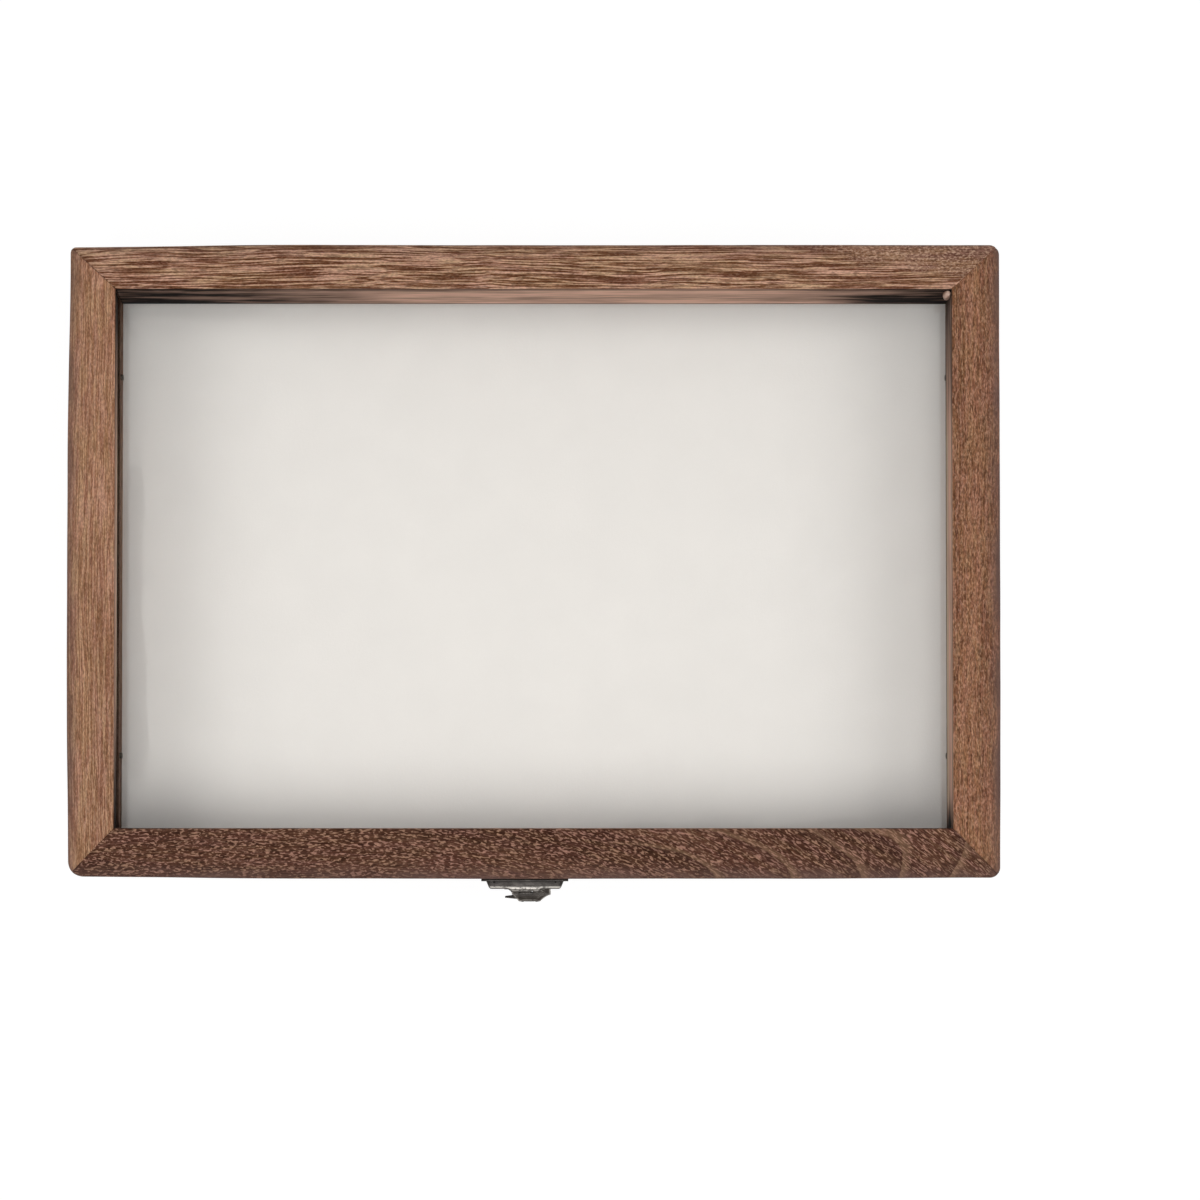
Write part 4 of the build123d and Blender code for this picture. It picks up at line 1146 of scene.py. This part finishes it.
class DISPLAY_CASE_OT_lid_rails(bpy.types.Operator):
    """Add the four mitred rails of the lid"""

    bl_idname = "display_case.lid_rails"
    bl_label = "Lid Rails"

    def execute(self, context):
        _, finish, _ = settings()
        extras = {"front": add_growth_rings, "back": add_speckled_end}
        radii = [SMALL_EDGE_ROUND, TOP_EDGE_ROUND, SMALL_EDGE_ROUND] + [FINE_EDGE_ROUND] * 3
        for seed, side in enumerate(SIDES, start=1):
            colour = getattr(finish, f"{side}_wood")
            flecks, bend = (FRONT_FLECK_FACTORS, GRAIN_BEND) if side == "front" else (PALE_FACTORS, 0.0)
            material = wood_material(f"{side} rail wood", colour, side, seed, LOOKS[side], flecks, bend)
            extras.get(side, add_painted_foot_light)(Graph(material.node_tree))
            inner, seat = RAIL_WIDTHS[side], RAIL_WIDTHS[side] - GLASS_LIP
            profile = [
                (0.0, SEAM), (0.0, LID_TOP), (inner, LID_TOP),
                (inner + INNER_LEANS[side], GLASS_TOP), (seat, GLASS_TOP), (seat, SEAM),
            ]
            piece = frame_piece(
                f"{side}_rail", side, RAIL_WIDTHS, profile, radii, LID_TOP, seed, "lid", material
            )
            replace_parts(piece, f"lid_{side}_rail")
        points, faces = glue_drop(GLUE_TOP - GLUE_LENGTH, GLUE_TOP)
        new_piece("glue_drop", points, faces, "lid", glue_material())
        return {"FINISHED"}


class DISPLAY_CASE_OT_bottom_panel(bpy.types.Operator):
    """Finish the plywood bottom and its brads"""

    bl_idname = "display_case.bottom_panel"
    bl_label = "Bottom Panel"

    def execute(self, context):
        dress(["bottom_panel"], plywood_material())
        dress(["bottom_panel_brads"], brad_steel())
        return {"FINISHED"}


class DISPLAY_CASE_OT_pinning_foam(bpy.types.Operator):
    """Add the foam board that insects are pinned to"""

    bl_idname = "display_case.pinning_foam"
    bl_label = "Pinning Foam"

    def execute(self, context):
        case, _, _ = settings()
        points, faces = foam_board(case.foam_edge_round, case.foam_wave)
        piece = new_piece("foam_board", points, faces, "base", foam_material())
        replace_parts(piece, "pinning_foam")
        return {"FINISHED"}


def foam_board(edge_round, wave):
    """A cut slab: a nearly flat grid on top, an arc round its rim, straight sides and a flat bottom.

    The top dips by a sum of slow sines in both directions, less towards the rim.
    """
    low, high = np.array(FOAM_LOW), np.array(FOAM_HIGH)
    across, deep = (
        np.linspace(low[axis] + edge_round, high[axis] - edge_round, FOAM_STEPS[axis] + 1) for axis in (0, 1)
    )
    x, y = np.meshgrid(across, deep, indexing="ij")
    slow = wander(x + 0.35 * y, 31, (0.19, 0.083)) * wander(y - 0.2 * x, 32, (0.14, 0.071))
    to_rim = np.minimum.reduce((x - across[0], across[-1] - x, y - deep[0], deep[-1] - y))
    z = high[2] - wave * slow * ramp(to_rim, 0.0, FOAM_RIM)
    top = np.stack((x, y, z), axis=-1).reshape(-1, 3)
    index = np.arange(x.size).reshape(x.shape)
    quads = grid_cells(index).reshape(-1, 4)
    border = np.concatenate((index[:-1, 0], index[-1, :-1], index[:0:-1, -1], index[0, :0:-1]))
    rim_x, rim_y = top[border, 0], top[border, 1]
    borders = ((rim_x, across), (rim_y, deep))
    outwards = [1.0 * (place >= line[-1]) - 1.0 * (place <= line[0]) for place, line in borders]
    outwards = np.stack(outwards, axis=-1)
    turns = np.linspace(0.0, math.pi / 2.0, 6)[1:]
    thickness = high[2] - low[2]
    reach = np.concatenate((np.sin(turns), np.ones(5))) * edge_round
    fall = np.concatenate(((1.0 - np.cos(turns)) * edge_round, np.linspace(edge_round, thickness, 6)[1:]))
    around = len(border)
    rings = top[border, :2][None] + outwards[None] * reach[:, None, None]
    heights = np.broadcast_to((high[2] - fall)[:, None, None], (len(reach), around, 1))
    skirt = np.concatenate((rings, heights), axis=-1).reshape(-1, 3)
    loops = np.vstack((border, len(top) + np.arange(len(reach) * around).reshape(-1, around)))
    after = np.roll(loops, -1, axis=1)
    sides = np.stack((loops[:-1], loops[1:], after[1:], after[:-1]), axis=-1).reshape(-1, 4)
    faces = quads.tolist() + sides.tolist() + [loops[-1][::-1].tolist()]
    return np.concatenate((top, skirt)), faces


class DISPLAY_CASE_OT_glass(bpy.types.Operator):
    """Finish the glass pane"""

    bl_idname = "display_case.glass"
    bl_label = "Glass"

    def execute(self, context):
        dress(["glass_pane"], glass_material())
        return {"FINISHED"}


class DISPLAY_CASE_OT_glazing_beads(bpy.types.Operator):
    """Finish the beads under the glass and their brads"""

    bl_idname = "display_case.glazing_beads"
    bl_label = "Glazing Beads"

    def execute(self, context):
        _, finish, _ = settings()
        for seed, side in enumerate(SIDES, start=21):
            colour = tone(finish.base_wood, 0.45)[:3]
            material = wood_material(f"{side} bead wood", colour, side, seed, LOOKS["base"])
            dress([f"glazing_bead_{side}"], material)
        dress(["glazing_brads"], brad_steel())
        return {"FINISHED"}


class DISPLAY_CASE_OT_hinges(bpy.types.Operator):
    """Finish the two hinges and their screws"""

    bl_idname = "display_case.hinges"
    bl_label = "Hinges"

    def execute(self, context):
        dress([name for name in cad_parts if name.startswith("hinge_")], bronze())
        return {"FINISHED"}


class DISPLAY_CASE_OT_latch(bpy.types.Operator):
    """Add the hasp and its plate, and finish the catch, the pin and the nails"""

    bl_idname = "display_case.latch"
    bl_label = "Latch"

    def execute(self, context):
        dress(["hasp_pin", "hasp_plate_nails", "catch_plate", "catch_stud", "catch_nails"], bronze())
        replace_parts(metal_piece("hasp_flap", hasp_flap(), "hasp"), "hasp")
        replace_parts(metal_piece("pressed_plate", pressed_plate(), "lid"), "hasp_plate")
        return {"FINISHED"}


class DISPLAY_CASE_OT_stage(bpy.types.Operator):
    """Add the floor, the lights and the camera"""

    bl_idname = "display_case.stage"
    bl_label = "Stage"

    def execute(self, context):
        _, _, stage = settings()
        add_floor()
        for side, placing in SOFT_BOXES.items():
            add_soft_box(f"{side} soft box", getattr(stage, f"{side}_light"), *placing)
        add_room(stage.room_light)
        add_camera(stage.lens)
        return {"FINISHED"}


def add_object(name, data, place, axes):
    """An object at a place, with its own X, Y and Z along the given axes."""
    holder = bpy.data.objects.new(name, data)
    holder.matrix_world = Matrix.Translation(place) @ Matrix(axes).transposed().to_4x4()
    bpy.context.scene.collection.objects.link(holder)
    return holder


def add_soft_box(name, power, azimuth, elevation, distance, size):
    """A rectangular lamp that faces the case. Azimuth 0 is the front and 90 the right."""
    turn, rise = math.radians(azimuth), math.radians(elevation)
    direction = Vector((math.sin(turn) * math.cos(rise), -math.cos(turn) * math.cos(rise), math.sin(rise)))
    lamp = bpy.data.lights.new(name, "AREA")
    lamp.shape = "RECTANGLE"
    lamp.size, lamp.size_y = size
    lamp.energy = power
    reach = Vector((0.0, 1.0, 0.0)) if abs(azimuth) == 90.0 else Vector((1.0, 0.0, 0.0))
    axes = (reach, direction.cross(reach).normalized(), direction)
    add_object(name, lamp, LIT_CENTRE + direction * distance, axes)


def add_floor():
    """A wide pale floor, brightened only where a camera, mirror or glass looks at it."""
    mesh = bpy.data.meshes.new("floor")
    corners = [(x * FLOOR_HALF, y * FLOOR_HALF, 0.0) for x, y in ((-1, -1), (1, -1), (1, 1), (-1, 1))]
    mesh.from_pydata(corners, [], [(0, 1, 2, 3)])
    floor = bpy.data.objects.new("floor", mesh)
    bpy.context.scene.collection.objects.link(floor)
    material, graph, shader, output = new_material("pale floor")
    graph.feed(shader, {"Base Color": (0.93, 0.93, 0.93, 1.0), "Roughness": 0.9, "Specular IOR Level": 0.1})
    white = graph.node("ShaderNodeEmission", {"Color": (1.0, 1.0, 1.0, 1.0), "Strength": 1.12})
    share = graph.times(looked_at(graph), 0.82)
    mixed = graph.node("ShaderNodeMixShader", {0: share, 1: shader.outputs[0], 2: white.outputs[0]})
    graph.feed(output, {"Surface": mixed.outputs[0]})
    mesh.materials.append(material)


def looked_at(graph):
    """1 for rays from the camera, off a mirror or through glass, and 0 once they left a dull surface."""
    path = graph.node("ShaderNodeLightPath").outputs
    seen = graph.math("MAXIMUM", path["Is Camera Ray"], path["Is Glossy Ray"])
    seen = graph.math("MAXIMUM", seen, path["Is Transmission Ray"])
    return graph.times(seen, graph.math("LESS_THAN", path["Diffuse Depth"], 0.5))


def add_room(strength):
    """Even light from all round, and a white room where it is looked at."""
    world = bpy.data.worlds.new("room")
    bpy.context.scene.world = world
    world.use_nodes = True
    world.node_tree.nodes.clear()
    graph = Graph(world.node_tree)
    seen = looked_at(graph)
    level = graph.times_plus(seen, 1.0 - strength, strength)
    colour = graph.mix(seen, (1.0, 0.955, 0.925, 1.0), (1.0, 1.0, 1.0, 1.0))
    shine = graph.node("ShaderNodeBackground", {"Color": colour, "Strength": level})
    graph.node("ShaderNodeOutputWorld", {"Surface": shine.outputs[0]})


def add_camera(lens):
    """The camera above the case's front edge. The frame's Y axis points upwards in its picture."""
    camera = bpy.data.cameras.new("camera")
    camera.lens = lens
    camera.shift_x, camera.shift_y = CAMERA_SHIFT
    camera.clip_start = 0.05
    forward = (CAMERA_AIM - CAMERA_PLACE).normalized()
    right = forward.cross(Vector((0.0, 1.0, 0.0))).normalized()
    axes = (right, right.cross(forward), -forward)
    bpy.context.scene.camera = add_object("camera", camera, CAMERA_PLACE, axes)


class DISPLAY_CASE_PT_panel(bpy.types.Panel):
    """Lists the case's pieces and settings in the sidebar"""

    bl_idname = "DISPLAY_CASE_PT_panel"
    bl_label = "Display Case"
    bl_space_type = "VIEW_3D"
    bl_region_type = "UI"
    bl_category = "Display Case"

    def draw(self, context):
        for group in settings():
            box = self.layout.box()
            for name in group.__annotations__:
                box.prop(group, name)
        for operator in OPERATORS:
            self.layout.operator(operator.bl_idname)


OPERATORS = (
    DISPLAY_CASE_OT_base_walls,
    DISPLAY_CASE_OT_lid_rails,
    DISPLAY_CASE_OT_bottom_panel,
    DISPLAY_CASE_OT_pinning_foam,
    DISPLAY_CASE_OT_glass,
    DISPLAY_CASE_OT_glazing_beads,
    DISPLAY_CASE_OT_hinges,
    DISPLAY_CASE_OT_latch,
    DISPLAY_CASE_OT_stage,
)
SETTINGS = {
    "display_case": CaseSettings,
    "display_case_finish": FinishSettings,
    "display_case_stage": StageSettings,
}


def register():
    """Registers the settings, the operators and the panel."""
    for name, group in SETTINGS.items():
        bpy.utils.register_class(group)
        setattr(bpy.types.Scene, name, bpy.props.PointerProperty(type=group))
    for operator in OPERATORS:
        bpy.utils.register_class(operator)
    bpy.utils.register_class(DISPLAY_CASE_PT_panel)


def unregister():
    """Takes back what register did, in the opposite order."""
    bpy.utils.unregister_class(DISPLAY_CASE_PT_panel)
    for operator in reversed(OPERATORS):
        bpy.utils.unregister_class(operator)
    for name, group in reversed(SETTINGS.items()):
        delattr(bpy.types.Scene, name)
        bpy.utils.unregister_class(group)


def main():
    """Builds the whole picture."""
    register()
    for operator in OPERATORS:
        category, name = operator.bl_idname.split(".")
        getattr(getattr(bpy.ops, category), name)()
    bpy.context.scene.view_settings.view_transform = "Standard"


if __name__ == "__main__":
    main()
